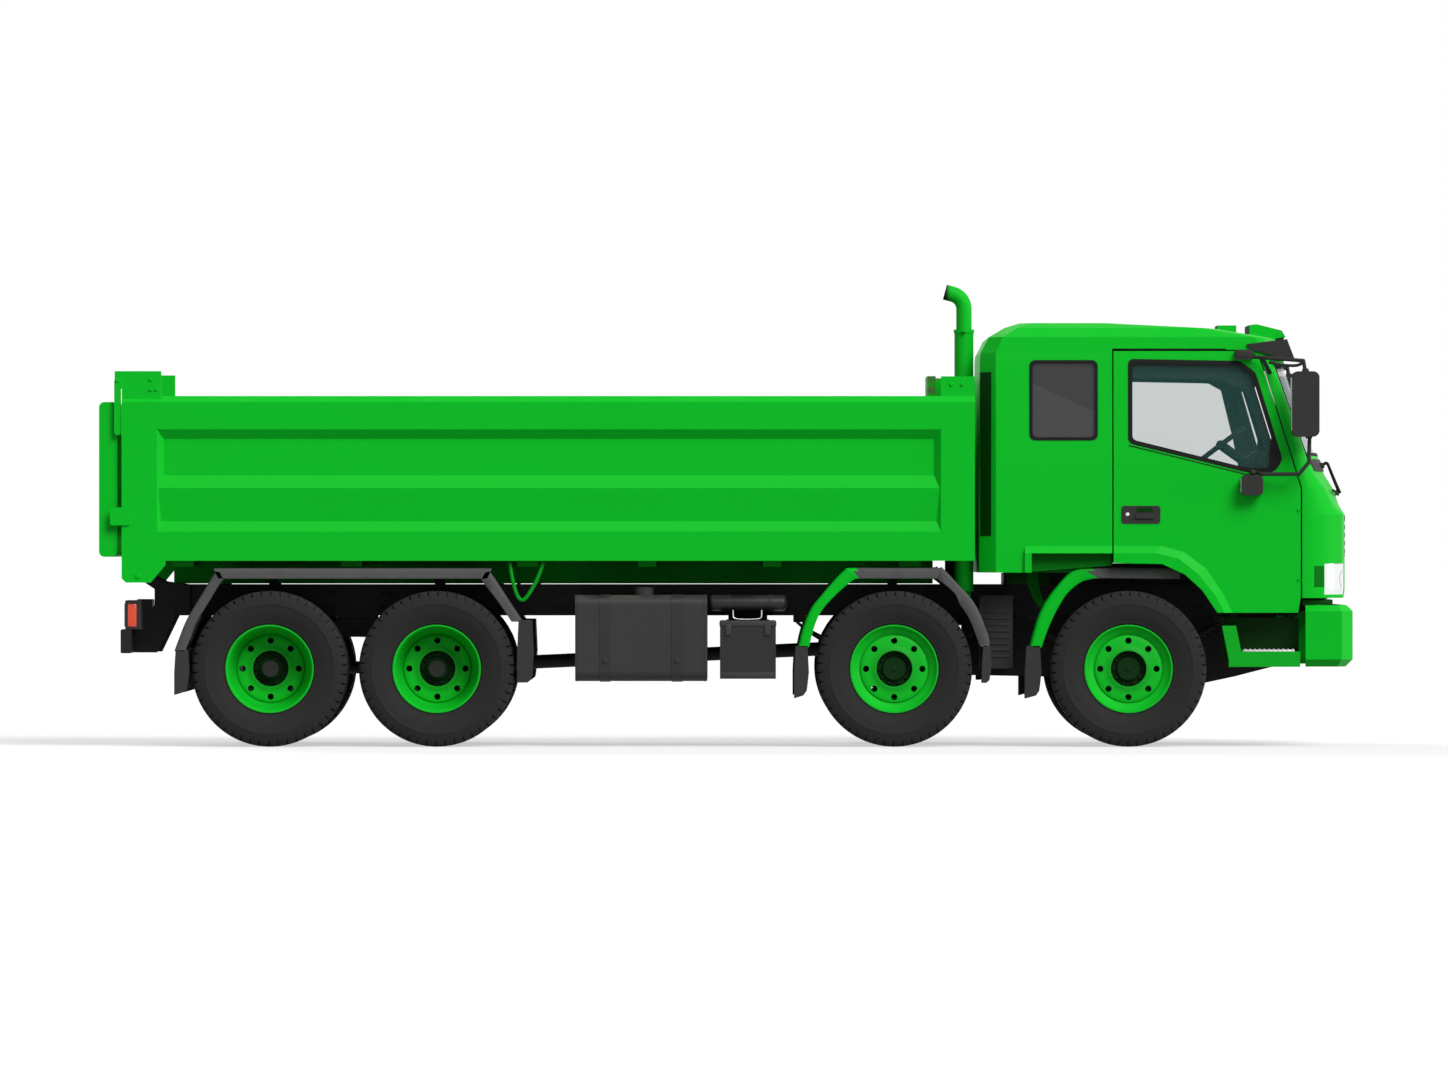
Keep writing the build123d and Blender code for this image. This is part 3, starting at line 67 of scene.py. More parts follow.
class Level:
    """A number that varies over a surface, such as how dusty a spot is."""

    def __init__(self, finish, socket):
        self.finish = finish
        self.socket = socket

    def reckon(self, operation, first, second):
        return self.finish.add("Math", {"operation": operation}, {0: first, 1: second})

    def __add__(self, other):
        return self.reckon("ADD", self, other)

    def __radd__(self, other):
        return self.reckon("ADD", other, self)

    def __sub__(self, other):
        return self.reckon("SUBTRACT", self, other)

    def __rsub__(self, other):
        return self.reckon("SUBTRACT", other, self)

    def __mul__(self, other):
        return self.reckon("MULTIPLY", self, other)

    def __rmul__(self, other):
        return self.reckon("MULTIPLY", other, self)

    def __abs__(self):
        return self.finish.add("Math", {"operation": "ABSOLUTE"}, {0: self})


class Finish:
    """One kind of surface: the constants of its coat and whatever varies over it."""

    def __init__(self, name, **coat):
        self.material = bpy.data.materials.new(name)
        self.material.use_nodes = True
        self.tree = self.material.node_tree
        self.coat = self.tree.nodes["Principled BSDF"]
        for socket, value in coat.items():
            self.coat.inputs[socket.replace("_", " ")].default_value = value
        self.spot = self.add("TexCoord", output="Object")

    def add(self, kind, settings=None, sockets=None, output=0):
        """Puts in one node: its settings first, then its sockets' values or links."""
        node = self.tree.nodes.new("ShaderNode" + kind)
        for name, value in (settings or {}).items():
            setattr(node, name, value)
        for name, value in (sockets or {}).items():
            if isinstance(value, Level):
                self.tree.links.new(value.socket, node.inputs[name])
            else:
                node.inputs[name].default_value = value
        return Level(self, node.outputs[output])

    def grain(self, size, detail=2.0, stretch=(1, 1, 1)):
        """Uneven patches about that many metres across, drawn out along the stretch."""
        squeeze = [1 / (size * part) for part in stretch]
        drawn = self.add("VectorMath", {"operation": "MULTIPLY"}, {0: self.spot, 1: squeeze})
        return self.add("TexNoise", None, {"Vector": drawn, "Scale": 1.0, "Detail": detail})

    def rise(self, level, low, high):
        """0 below low, 1 above high and a soft step between."""
        sockets = {"Value": level, "From Min": low, "From Max": high}
        return self.add("MapRange", {"interpolation_type": "SMOOTHSTEP"}, sockets)

    def mix(self, share, first, second):
        return self.add("Mix", {"data_type": "RGBA"}, {0: share, 6: first, 7: second}, 2)

    def along(self, axis):
        """How far a spot is along X, Y or Z."""
        return self.add("SeparateXYZ", None, {"Vector": self.spot}, axis)

    def bump(self, height, depth, strength=1.0):
        sockets = {"Height": height, "Distance": depth, "Strength": strength}
        return self.add("Bump", None, sockets, "Normal")

    def show(self, **looks):
        """Feeds what varies to the coat's sockets."""
        for socket, level in looks.items():
            self.tree.links.new(level.socket, self.coat.inputs[socket.replace("_", " ")])
        return self


FLOOR_REACH = 260.0
floor_mesh = bpy.data.meshes.new("studio_floor")
floor_form = bmesh.new()
corners = [(-1, -1), (1, -1), (1, 1), (-1, 1)]
floor_form.faces.new([floor_form.verts.new((x * FLOOR_REACH, y * FLOOR_REACH, 0)) for x, y in corners])
floor_form.to_mesh(floor_mesh)
floor = bpy.data.objects.new("studio_floor", floor_mesh)
bpy.context.scene.collection.objects.link(floor)
floor_finish = Finish("studio_floor", Roughness=1.0, Specular_IOR_Level=0.0)
cloud = floor_finish.grain(1.5)
floor_finish.show(Base_Color=floor_finish.mix(cloud, (0.27, 0.27, 0.27, 1), (0.29, 0.29, 0.29, 1)))
pale = floor_finish.add("BsdfDiffuse", None, {"Color": (0.42, 0.42, 0.42, 1)})
glow = floor_finish.add("Emission", None, {"Color": (1, 1, 1, 1), "Strength": 0.54})
pale_floor = floor_finish.add("AddShader", None, {0: pale, 1: glow})
seen = floor_finish.add("LightPath", None, None, "Is Camera Ray")
mirrored = floor_finish.add("LightPath", None, None, "Is Glossy Ray")
through = floor_finish.add("LightPath", None, None, "Is Transmission Ray")
direct = floor_finish.rise(seen + mirrored + through, 0.4, 0.6)
coat_out = Level(floor_finish, floor_finish.coat.outputs[0])
shown_floor = floor_finish.add("MixShader", None, {0: direct, 1: coat_out, 2: pale_floor})
floor_finish.tree.links.new(shown_floor.socket, floor_finish.tree.nodes["Material Output"].inputs[0])
floor_mesh.materials.append(floor_finish.material)

room = bpy.data.worlds.new("studio_room")
room.use_nodes = True
room_nodes, room_links = room.node_tree.nodes, room.node_tree.links
even_light = room_nodes["Background"]
even_light.inputs["Color"].default_value = (1, 1, 1, 1)
even_light.inputs["Strength"].default_value = 0.34
white_wall = room_nodes.new("ShaderNodeBackground")
white_wall.inputs["Color"].default_value = (1, 1, 1, 1)
white_wall.inputs["Strength"].default_value = 1.0
ray = room_nodes.new("ShaderNodeLightPath")
either = room_nodes.new("ShaderNodeMath")
either.operation = "MAXIMUM"
room_links.new(ray.outputs["Is Camera Ray"], either.inputs[0])
room_links.new(ray.outputs["Is Transmission Ray"], either.inputs[1])
any_view = room_nodes.new("ShaderNodeMath")
any_view.operation = "MAXIMUM"
room_links.new(either.outputs[0], any_view.inputs[0])
room_links.new(ray.outputs["Is Glossy Ray"], any_view.inputs[1])
wall_or_light = room_nodes.new("ShaderNodeMixShader")
room_links.new(any_view.outputs[0], wall_or_light.inputs[0])
room_links.new(even_light.outputs[0], wall_or_light.inputs[1])
room_links.new(white_wall.outputs[0], wall_or_light.inputs[2])
room_links.new(wall_or_light.outputs[0], room_nodes["World Output"].inputs[0])
bpy.context.scene.world = room

# Lamp, the direction towards it, its strength and how wide it is in degrees
LAMPS = [
    ("key_lamp", (0.45, -0.70, 0.70), 2.86, 34),
    ("front_lamp", (1.00, -0.12, 0.10), 0.9, 20),
    ("back_lamp", (-0.45, 0.75, 0.48), 1.3, 20),
]
for lamp_name, towards, strength, width in LAMPS:
    lamp_data = bpy.data.lights.new(lamp_name, "SUN")
    lamp_data.energy = strength
    lamp_data.angle = math.radians(width)
    lamp = bpy.data.objects.new(lamp_name, lamp_data)
    lamp.rotation_euler = Vector(towards).to_track_quat("Z", "Y").to_euler()
    bpy.context.scene.collection.objects.link(lamp)

# ------------------------------------------------------------------ tyres
# Twelve radial tyres of black rubber, one on each steered wheel and two on each driven one.
# The moulded tread has three grooves and open shoulder lugs, and the walls carry raised rings.

AXLE_X = {1: 2.899, 2: 1.211, 3: -2.086, 4: -3.290}
SIDES = {"left": 1, "right": -1}
TYRE_RADIUS = 0.562
TYRE_CENTRE = 1.090
TWIN_SPACING = 0.340
LUGS = 50
# Half of the tyre's section from the bead to the crown: offset, radius, and how far the spot
# moves in and down where a gap between two lugs crosses it
TYRE_SECTION = [
    (0.1050, 0.318, 0, 0),
    (0.1090, 0.326, 0, 0),
    (0.1160, 0.330, 0, 0),
    (0.1160, 0.336, 0, 0),
    (0.1190, 0.344, 0, 0),
    (0.1290, 0.366, 0, 0),
    (0.1400, 0.402, 0, 0),
    (0.1470, 0.440, 0, 0),
    (0.1490, 0.462, 0, 0),
    (0.1500, 0.464, 0, 0),
    (0.1500, 0.470, 0, 0),
    (0.1485, 0.473, 0, 0),
    (0.1478, 0.492, 0, 0),
    (0.1420, 0.513, 0, 0),
    (0.1385, 0.524, 0.002, 0),
    (0.1360, 0.536, 0.012, 0.006),
    (0.1280, 0.549, 0.014, 0.014),
    (0.1140, 0.5575, 0.006, 0.017),
    (0.0840, 0.5605, 0, 0.014),
    (0.0800, 0.5605, 0, 0.008),
    (0.0770, 0.5470, 0, 0),
    (0.0680, 0.5470, 0, 0),
    (0.0650, 0.5615, 0, 0),
    (0.0250, 0.5620, 0, 0),
    (0.0220, 0.5480, 0, 0),
]
# Where along one lug's pitch its columns stand, and whether each is in the gap
LUG_COLUMNS = [(0.0, 0), (0.03, 1), (0.17, 1), (0.20, 0), (0.60, 0)]


def tyre_form(form, centre):
    """Adds one tyre about the Y axis to the form."""
    mirrored_rows = [(-y, r, -dy, dr) for y, r, dy, dr in reversed(TYRE_SECTION)]
    section = [*TYRE_SECTION, *mirrored_rows]
    rings = []
    for lug in range(LUGS):
        for place, in_gap in LUG_COLUMNS:
            turn = 2 * math.pi * (lug + place) / LUGS
            ring = []
            for y, r, inward, down in section:
                radius = r - down * in_gap
                spot = (radius * math.sin(turn), centre + y - inward * in_gap, radius * math.cos(turn))
                ring.append(form.verts.new(spot))
            rings.append(ring)
    count = len(section)
    for ring, following in zip(rings, [*rings[1:], rings[0]]):
        for row in range(count):
            after = (row + 1) % count
            form.faces.new((ring[row], ring[after], following[after], following[row]))


def close_form(form, name, crease=30):
    """Turns a form into a mesh with outward faces, smooth but for edges over the crease angle."""
    bmesh.ops.recalc_face_normals(form, faces=form.faces)
    mesh = bpy.data.meshes.new(name)
    form.to_mesh(mesh)
    form.free()
    mesh.shade_smooth()
    mesh.set_sharp_from_angle(angle=math.radians(crease))
    return mesh


def fit(name, mesh, body, finish, slot, place=(0, 0, 0)):
    """Hangs a finished mesh on the body that it moves with."""
    piece = bpy.data.objects.new(name, mesh)
    bpy.context.scene.collection.objects.link(piece)
    piece.location = place
    if not mesh.materials:
        mesh.materials.append(finish.material)
    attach(piece, body)
    return piece


def fit_form(name, form, *place):
    """Closes a form and hangs it under one name."""
    return fit(name, close_form(form, name), *place)


tyre_rubber = Finish("tyre_rubber", Specular_IOR_Level=0.12)
rubber_cure = tyre_rubber.grain(0.09, 3.0)
rubber_pores = tyre_rubber.grain(0.0035, 2.0)
wheel_x, wheel_z = tyre_rubber.along("X"), tyre_rubber.along("Z")
from_hub = tyre_rubber.add("Math", {"operation": "SQRT"}, {0: wheel_x * wheel_x + wheel_z * wheel_z})
road_dust = tyre_rubber.rise(from_hub, 0.535, 0.562) * tyre_rubber.rise(tyre_rubber.grain(0.05), 0.35, 0.75)
wall_colour = tyre_rubber.mix(rubber_cure, paint(36, 36, 36), paint(42, 42, 41))
tyre_rubber.show(
    Base_Color=tyre_rubber.mix(0.30 * road_dust, wall_colour, paint(84, 79, 72)),
    Roughness=0.62 + 0.25 * rubber_cure,
    Normal=tyre_rubber.bump(rubber_pores, 0.0006, 0.5),
)
single_form, twin_form = bmesh.new(), bmesh.new()
tyre_form(single_form, 0.0)
tyre_form(twin_form, TWIN_SPACING / 2)
tyre_form(twin_form, -TWIN_SPACING / 2)
tyre_meshes = {False: close_form(single_form, "single_tyre"), True: close_form(twin_form, "twin_tyres")}
for axle, x in AXLE_X.items():
    for side, sign in SIDES.items():
        twin = axle > 2
        out = TYRE_CENTRE - (TWIN_SPACING / 2 if twin else 0)
        spot = (x, sign * out, TYRE_RADIUS)
        rubber = fit(
            f"tyres_{axle}_{side}", tyre_meshes[twin], f"wheel_{axle}_{side}", tyre_rubber, "tyre_rubber",
            spot
        )
        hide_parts(f"tyre_{axle}_{side}")

# ------------------------------------------------------------------ rims and hubs
# Rolled and welded steel rims in the body colour: a lip, a tapered well and a pressed disc
# with eight hand holes. The hub sits back in the middle of the disc, in a near-black green of painted
# shade.

HAND_HOLES = 8
HAND_HOLE_CIRCLE = 0.203
HAND_HOLE_RADIUS = 0.023
# Steered wheel's closed section as offset from the tyre's middle and radius
SINGLE_RIM = [
    (0.115, 0.318), (0.115, 0.308), (0.111, 0.303), (0.102, 0.299), (0.080, 0.274), (0.060, 0.2495),
    (0.056, 0.2460), (0.0585, 0.2435), (0.066, 0.2400), (0.071, 0.2280), (0.073, 0.2050), (0.073, 0.1720),
    (0.078, 0.1520), (0.083, 0.1400), (0.083, 0.1310), (0.078, 0.1280), (0.060, 0.1280), (0.060, 0.2300),
    (0.045, 0.2600), (-0.080, 0.2750), (-0.102, 0.2990), (-0.115, 0.3080), (-0.115, 0.3180),
    (-0.106, 0.3180), (-0.105, 0.3030), (-0.030, 0.2840), (0.030, 0.2840), (0.105, 0.3030), (0.106, 0.3180),
]
# Driven pair's section, from the middle between the tyres
TWIN_RIM = [
    (0.285, 0.318), (0.285, 0.308), (0.281, 0.303), (0.272, 0.299), (0.150, 0.2800), (0.030, 0.2500),
    (0.026, 0.2460), (0.0285, 0.2435), (0.036, 0.2400), (0.040, 0.2280), (0.042, 0.2050), (0.042, 0.1720),
    (0.047, 0.1520), (0.052, 0.1400), (0.052, 0.1310), (0.047, 0.1280), (0.028, 0.1280), (0.028, 0.2250),
    (0.010, 0.2480), (-0.030, 0.2600), (-0.250, 0.2800), (-0.272, 0.2990), (-0.285, 0.3080),
    (-0.285, 0.3180),
    (-0.276, 0.3180), (-0.275, 0.3030), (-0.170, 0.2880), (-0.066, 0.3030), (-0.065, 0.3180),
    (0.065, 0.3180), (0.066, 0.3030), (0.170, 0.2880), (0.275, 0.3030), (0.276, 0.3180),
]


def turned(form, section, steps=96, closed=True, centre=(0, 0, 0)):
    """Turns a section of (offset, radius) pairs about the Y axis."""
    rings = []
    for step in range(steps):
        turn = 2 * math.pi * step / steps
        ring = []
        for y, r in section:
            spot = (centre[0] + r * math.sin(turn), centre[1] + y, centre[2] + r * math.cos(turn))
            ring.append(form.verts.new(spot))
        rings.append(ring)
    for ring, following in zip(rings, [*rings[1:], rings[0]]):
        for row in range(len(section) - (0 if closed else 1)):
            after = (row + 1) % len(section)
            form.faces.new((ring[row], ring[after], following[after], following[row]))
    if not closed:
        form.faces.new([ring[0] for ring in rings])
        form.faces.new([ring[-1] for ring in reversed(rings)])


def cut_away(mesh, cutter_mesh):
    """The mesh with the cutter's solid taken out of it."""
    body = bpy.data.objects.new("blank", mesh)
    cutter = bpy.data.objects.new("cutter", cutter_mesh)
    for thing in (body, cutter):
        bpy.context.scene.collection.objects.link(thing)
    cut = body.modifiers.new("cut", "BOOLEAN")
    cut.operation = "DIFFERENCE"
    cut.solver = "EXACT"
    cut.object = cutter
    bpy.context.view_layer.update()
    seen_body = body.evaluated_get(bpy.context.evaluated_depsgraph_get())
    result = bpy.data.meshes.new_from_object(seen_body)
    result.name = mesh.name
    for thing in (body, cutter):
        bpy.data.objects.remove(thing)
    result.set_sharp_from_angle(angle=math.radians(30))
    return result


def hand_hole_cutter(disc_offset):
    form = bmesh.new()
    for hole in range(HAND_HOLES):
        turn = 2 * math.pi * hole / HAND_HOLES
        centre = (HAND_HOLE_CIRCLE * math.sin(turn), disc_offset, HAND_HOLE_CIRCLE * math.cos(turn))
        turned(form, [(-0.06, HAND_HOLE_RADIUS), (0.05, HAND_HOLE_RADIUS)], 20, False, centre)
    return close_form(form, "hand_holes")


BODY_GREEN = paint(2, 186, 36)
rim_paint = Finish("rim_paint", Specular_IOR_Level=0.12)
rim_patch = rim_paint.grain(0.12, 3.0)
rim_x, rim_z = rim_paint.along("X"), rim_paint.along("Z")
rim_reach = rim_paint.add("Math", {"operation": "SQRT"}, {0: rim_x * rim_x + rim_z * rim_z})
# Painted shade: the disc turns a deep green round the hub and along the groove in the well.
painted_hub_and_groove_shade = (1 - rim_paint.rise(rim_reach, 0.13, 0.20)) + rim_paint.rise(rim_reach, 0.238, 0.2455) * (
    1 - rim_paint.rise(rim_reach, 0.2460, 0.256)
)
rim_green = rim_paint.mix(rim_patch, paint(14, 186, 40), paint(11, 174, 35))
rim_paint.show(
    Base_Color=rim_paint.mix(0.28 * painted_hub_and_groove_shade, rim_green, paint(30, 74, 30)),
    Roughness=0.38 + 0.2 * rim_patch,
    Normal=rim_paint.bump(rim_paint.grain(0.006), 0.0004, 0.3),
)
# The hub's near-black green is painted shade for the hollow in the middle of the disc.
shaded_hub_paint = Finish("shaded_hub_paint", Specular_IOR_Level=0.1)
hub_patch = shaded_hub_paint.grain(0.03, 4.0)
shaded_hub_paint.show(
    Base_Color=shaded_hub_paint.mix(hub_patch, paint(3, 34, 5), paint(6, 46, 9)),
    Roughness=0.55 + 0.25 * hub_patch,
    Normal=shaded_hub_paint.bump(shaded_hub_paint.grain(0.004), 0.0008, 0.5),
)


def hub_form(form, face, back, drum):
    """The hub's stepped nose, its ring of ten studs and the brake drum behind."""
    nose = [(back, 0.020), (back, drum), (back + 0.075, drum), (back + 0.085, drum - 0.01)]
    nose += [(back + 0.086, 0.150), (face - 0.030, 0.124), (face - 0.028, 0.088)]
    nose += [(face - 0.004, 0.084), (face, 0.078), (face, 0.020)]
    turned(form, nose, 64, True)
    turned(form, [(face - 0.02, 0.020), (face + 0.004, 0.020), (face + 0.006, 0.014)], 16, False)
    for stud in range(10):
        turn = 2 * math.pi * (stud + 0.5) / 10
        spot = (0.106 * math.sin(turn), 0, 0.106 * math.cos(turn))
        turned(form, [(face - 0.034, 0.012), (face - 0.012, 0.012), (face - 0.010, 0.009)], 6, False, spot)


rim_meshes, hub_meshes = {}, {}
for twin, section, disc, hub_face, hub_back, drum in (
    (False, SINGLE_RIM, 0.070, 0.048, -0.070, 0.205),
    (True, TWIN_RIM, 0.040, 0.030, -0.265, 0.205),
):
    rim_blank = bmesh.new()
    turned(rim_blank, section)
    label = "twin" if twin else "single"
    rim_meshes[twin] = cut_away(close_form(rim_blank, label + "_rim", 24), hand_hole_cutter(disc))
    hub_blank = bmesh.new()
    hub_form(hub_blank, hub_face, hub_back, drum)
    hub_meshes[twin] = close_form(hub_blank, label + "_hub")


def other_side(mesh):
    """The mesh mirrored from the left side to the right."""
    twin_mesh = mesh.copy()
    twin_mesh.transform(Matrix.Scale(-1, 4, (0, 1, 0)))
    twin_mesh.flip_normals()
    return twin_mesh


for axle, x in AXLE_X.items():
    for side, sign in SIDES.items():
        twin = axle > 2
        spot = (x, sign * (TYRE_CENTRE - (TWIN_SPACING / 2 if twin else 0)), TYRE_RADIUS)
        rim_mesh, hub_mesh = rim_meshes[twin], hub_meshes[twin]
        if sign < 0:
            rim_mesh, hub_mesh = other_side(rim_mesh), other_side(hub_mesh)
        wheel = f"wheel_{axle}_{side}"
        steel = fit(f"wheel_rim_{axle}_{side}", rim_mesh, wheel, rim_paint, "rim_paint", spot)
        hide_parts(f"rim_{axle}_{side}")
        fit(f"wheel_hub_{axle}_{side}", hub_mesh, wheel, shaded_hub_paint, "cast_metal", spot)

# ------------------------------------------------------------------ axles, springs and drive
# Forged and cast steel under the frame: beams, driven axle cases, leaf packs, shafts and the
# engine, in dull black enamel that road dirt has filmed over.


def dress(finish, *nodes):
    """Gives built parts their real surface."""
    for node in nodes:
        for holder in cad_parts[node].material_slots:
            holder.material = finish.material


cast_metal = Finish("cast_metal", Specular_IOR_Level=0.25)
sand_skin = cast_metal.grain(0.008, 3.0)
dirt_film = cast_metal.grain(0.22, 4.0)
cast_colour = cast_metal.mix(dirt_film, paint(25, 26, 26), paint(38, 36, 33))
cast_metal.show(
    Base_Color=cast_colour,
    Roughness=0.58 + 0.25 * sand_skin,
    Normal=cast_metal.bump(sand_skin, 0.0012, 0.6),
)
dress(cast_metal, "axles", "driveshaft", "engine")
dress(cast_metal, *(f"knuckle_{axle}_{side}" for axle in (1, 2) for side in SIDES))

spring_steel = Finish("spring_steel", Specular_IOR_Level=0.3)
leaf = spring_steel.add("TexWave", {"bands_direction": "Z"}, {"Vector": spring_steel.spot, "Scale": 12.0})
leaf_gap = spring_steel.rise(leaf, 0.15, 0.45)
spring_steel.show(
    Base_Color=spring_steel.mix(leaf_gap, paint(14, 13, 12), paint(40, 38, 36)),
    Roughness=0.5 + 0.3 * spring_steel.grain(0.05, 3.0),
    Normal=spring_steel.bump(leaf_gap, 0.004, 0.7),
)
dress(spring_steel, "leaf_springs")

# U-bolts that clamp each leaf pack to its axle, bent from round bar.
U_BOLT_RADIUS = 0.011
# Centre x of the seat, height of the pack's top, height of the lower plate
SPRING_SEATS = [(2.899, 0.690, 0.500), (1.211, 0.690, 0.500)]


def bar_mesh(name, points, radius, smooth=True, sides=4):
    """A round bar bent through the points, as a mesh."""
    line = bpy.data.curves.new(name, "CURVE")
    line.dimensions = "3D"
    line.bevel_depth = radius
    line.bevel_resolution = sides
    line.use_fill_caps = True
    if smooth:
        run = line.splines.new("NURBS")
        run.points.add(len(points) - 1)
        for spot, point in zip(run.points, points):
            spot.co = (*point, 1)
        run.order_u = 3
        run.use_endpoint_u = True
        run.resolution_u = 6
    else:
        run = line.splines.new("POLY")
        run.points.add(len(points) - 1)
        for spot, point in zip(run.points, points):
            spot.co = (*point, 1)
    holder = bpy.data.objects.new(name, line)
    bpy.context.scene.collection.objects.link(holder)
    bpy.context.view_layer.update()
    bent = holder.evaluated_get(bpy.context.evaluated_depsgraph_get())
    mesh = bpy.data.meshes.new_from_object(bent)
    bpy.data.objects.remove(holder)
    mesh.shade_smooth()
    mesh.set_sharp_from_angle(angle=math.radians(50))
    return mesh


def joined(name, meshes):
    """Several meshes as one."""
    form = bmesh.new()
    for mesh in meshes:
        form.from_mesh(mesh)
    whole = bpy.data.meshes.new(name)
    form.to_mesh(whole)
    form.free()
    whole.shade_smooth()
    whole.set_sharp_from_angle(angle=math.radians(35))
    return whole


bolt_meshes = []
for seat_x, top, bottom in SPRING_SEATS:
    for sign in (-1, 1):
        for along in (-0.075, 0.075):
            x = seat_x + along
            low, high = sign * 0.342, sign * 0.438
            bend = [(x, low, bottom), (x, low, top - 0.02), (x, low, top + 0.012),
                (x, (low + high) / 2, top + 0.014)]
            bend += [(x, high, top + 0.012), (x, high, top - 0.02), (x, high, bottom)]
            bolt_meshes.append(bar_mesh("u_bolt", bend, U_BOLT_RADIUS))
fit("spring_u_bolts", joined("spring_u_bolts", bolt_meshes), "chassis", spring_steel, "cast_metal")

# ------------------------------------------------------------------ ladder frame
# Two rolled channel rails and their cross beams in black chassis enamel. Huck bolts run along
# each web, and dust has settled on what faces up.


def enamel(name, light, dark, dust, dust_share=0.3, gloss=0.45, shine=0.15, patch=0.5):
    """Sprayed enamel on sheet steel: slight fading, fine orange peel and settled dust."""
    finish = Finish(name, Specular_IOR_Level=shine)
    faded = finish.grain(patch, 3.0)
    peel = finish.grain(0.005, 2.0)
    facing = finish.add("SeparateXYZ", None, {"Vector": finish.add("NewGeometry", None, None, "Normal")}, 2)
    settled = finish.rise(facing, 0.35, 0.9) * finish.rise(finish.grain(0.16, 4.0), 0.30, 0.75)
    colour = finish.mix(faded, light, dark)
    finish.show(
        Base_Color=finish.mix(dust_share * settled, colour, dust),
        Roughness=gloss + 0.12 * faded + 0.2 * settled,
        Normal=finish.bump(peel, 0.0005, 0.25),
    )
    return finish


chassis_paint = enamel("chassis_paint", paint(25, 26, 26), paint(31, 31, 30), paint(80, 76, 70))
dress(chassis_paint, "frame_rails", "crossmembers", "underrun_bar")
RAIL_OUTER = 0.430
bolt_form = bmesh.new()


def bolt_head(form, spot, radius, height, sign):
    """A flanged hexagon bolt head that faces along Y."""
    flange = [(0, radius * 1.3), (height * 0.3, radius * 1.25), (height * 0.32, radius)]
    nut = [(height * 0.32, radius), (height * 0.9, radius * 0.98), (height, radius * 0.8)]
    turned(form, [(sign * y, r) for y, r in flange], 12, False, spot)
    turned(form, [(sign * y, r) for y, r in nut], 6, False, spot)


RAIL_BOLTS_X = [-3.95, -3.6, -2.9, -2.5, -1.9, -1.25, -0.66, -0.3, 0.6, 0.95, 1.46, 1.92, 2.35, 3.4, 3.9]
for x in RAIL_BOLTS_X:
    for sign in (-1, 1):
        for along in (0, 0.06):
            for z in (1.000, 1.110):
                bolt_head(bolt_form, (x + along, sign * RAIL_OUTER, z), 0.013, 0.014, sign)
fit_form("rail_bolts", bolt_form, "chassis", cast_metal, "cast_metal")

# ------------------------------------------------------------------ fuel tanks
# Two pressed steel tanks slung from the rails, each held by a pair of flat straps, with a screw cap
# on its neck and an end seam.

TANK_X = (-1.089, -0.137)
TANK_Y = (0.530, 1.180)
TANK_Z = (0.473, 1.094)
TANK_CORNER = 0.070
STRAP_X = [(-0.911, -0.838), (-0.393, -0.316)]
tank_paint = enamel("tank_paint", paint(40, 40, 40), paint(47, 47, 46), paint(104, 102, 98), 0.35, 0.42,
    0.25, 0.35)
dress(tank_paint, "fuel_tanks")


def round_loop(low, high, radius, grow, steps=8):
    """A rounded rectangle's corner points in two axes, grown outwards."""
    loop = []
    for quarter, (a, b) in enumerate(((1, 1), (0, 1), (0, 0), (1, 0))):
        centre = [(high[0] - radius) if a else (low[0] + radius),
            (high[1] - radius) if b else (low[1] + radius)]
        for step in range(steps + 1):
            turn = math.pi / 2 * (quarter + step / steps)
            reach = radius + grow
            loop.append((centre[0] + reach * math.cos(turn), centre[1] + reach * math.sin(turn)))
    return loop


def hoop(form, x_span, loops, sign=1):
    """A flat band round X: rings of points joined into one closed ring of sheet."""
    rings = []
    for x, loop in zip(x_span, loops):
        rings.append([form.verts.new((x, sign * y, z)) for y, z in loop])
    for ring, following in zip(rings, [*rings[1:], rings[0]]):
        for spot in range(len(ring)):
            after = (spot + 1) % len(ring)
            form.faces.new((ring[spot], ring[after], following[after], following[spot]))


strap_form = bmesh.new()
seam_form = bmesh.new()
for sign in (-1, 1):
    flat = [round_loop((TANK_Y[0], TANK_Z[0]), (TANK_Y[1], TANK_Z[1]), TANK_CORNER,
        grow) for grow in (-0.002, 0.005)]
    for low_x, high_x in STRAP_X:
        hoop(strap_form, (low_x, low_x, high_x, high_x), (flat[0], flat[1], flat[1], flat[0]), sign)
        bolt_head(strap_form, ((low_x + high_x) / 2, sign * (TANK_Y[1] + 0.004), 0.62), 0.016, 0.02, sign)
    for x in (TANK_X[0] + 0.018, TANK_X[1] - 0.018):
        seam = [round_loop((TANK_Y[0], TANK_Z[0]), (TANK_Y[1], TANK_Z[1]), TANK_CORNER,
            g) for g in (-0.003, 0.003)]
        hoop(seam_form, (x - 0.008, x - 0.003, x + 0.003, x + 0.008),
            (seam[0], seam[1], seam[1], seam[0]), sign)
strap_steel = enamel("strap_steel", paint(30, 30, 30), paint(37, 37, 36), paint(90, 88, 84), 0.3, 0.35,
    0.3, 0.2)
fit_form("tank_straps", strap_form, "chassis", strap_steel, "equipment_black")
fit_form("tank_seams", seam_form, "chassis", tank_paint, "equipment_black")
CAP_X = -0.593
cap_form = bmesh.new()
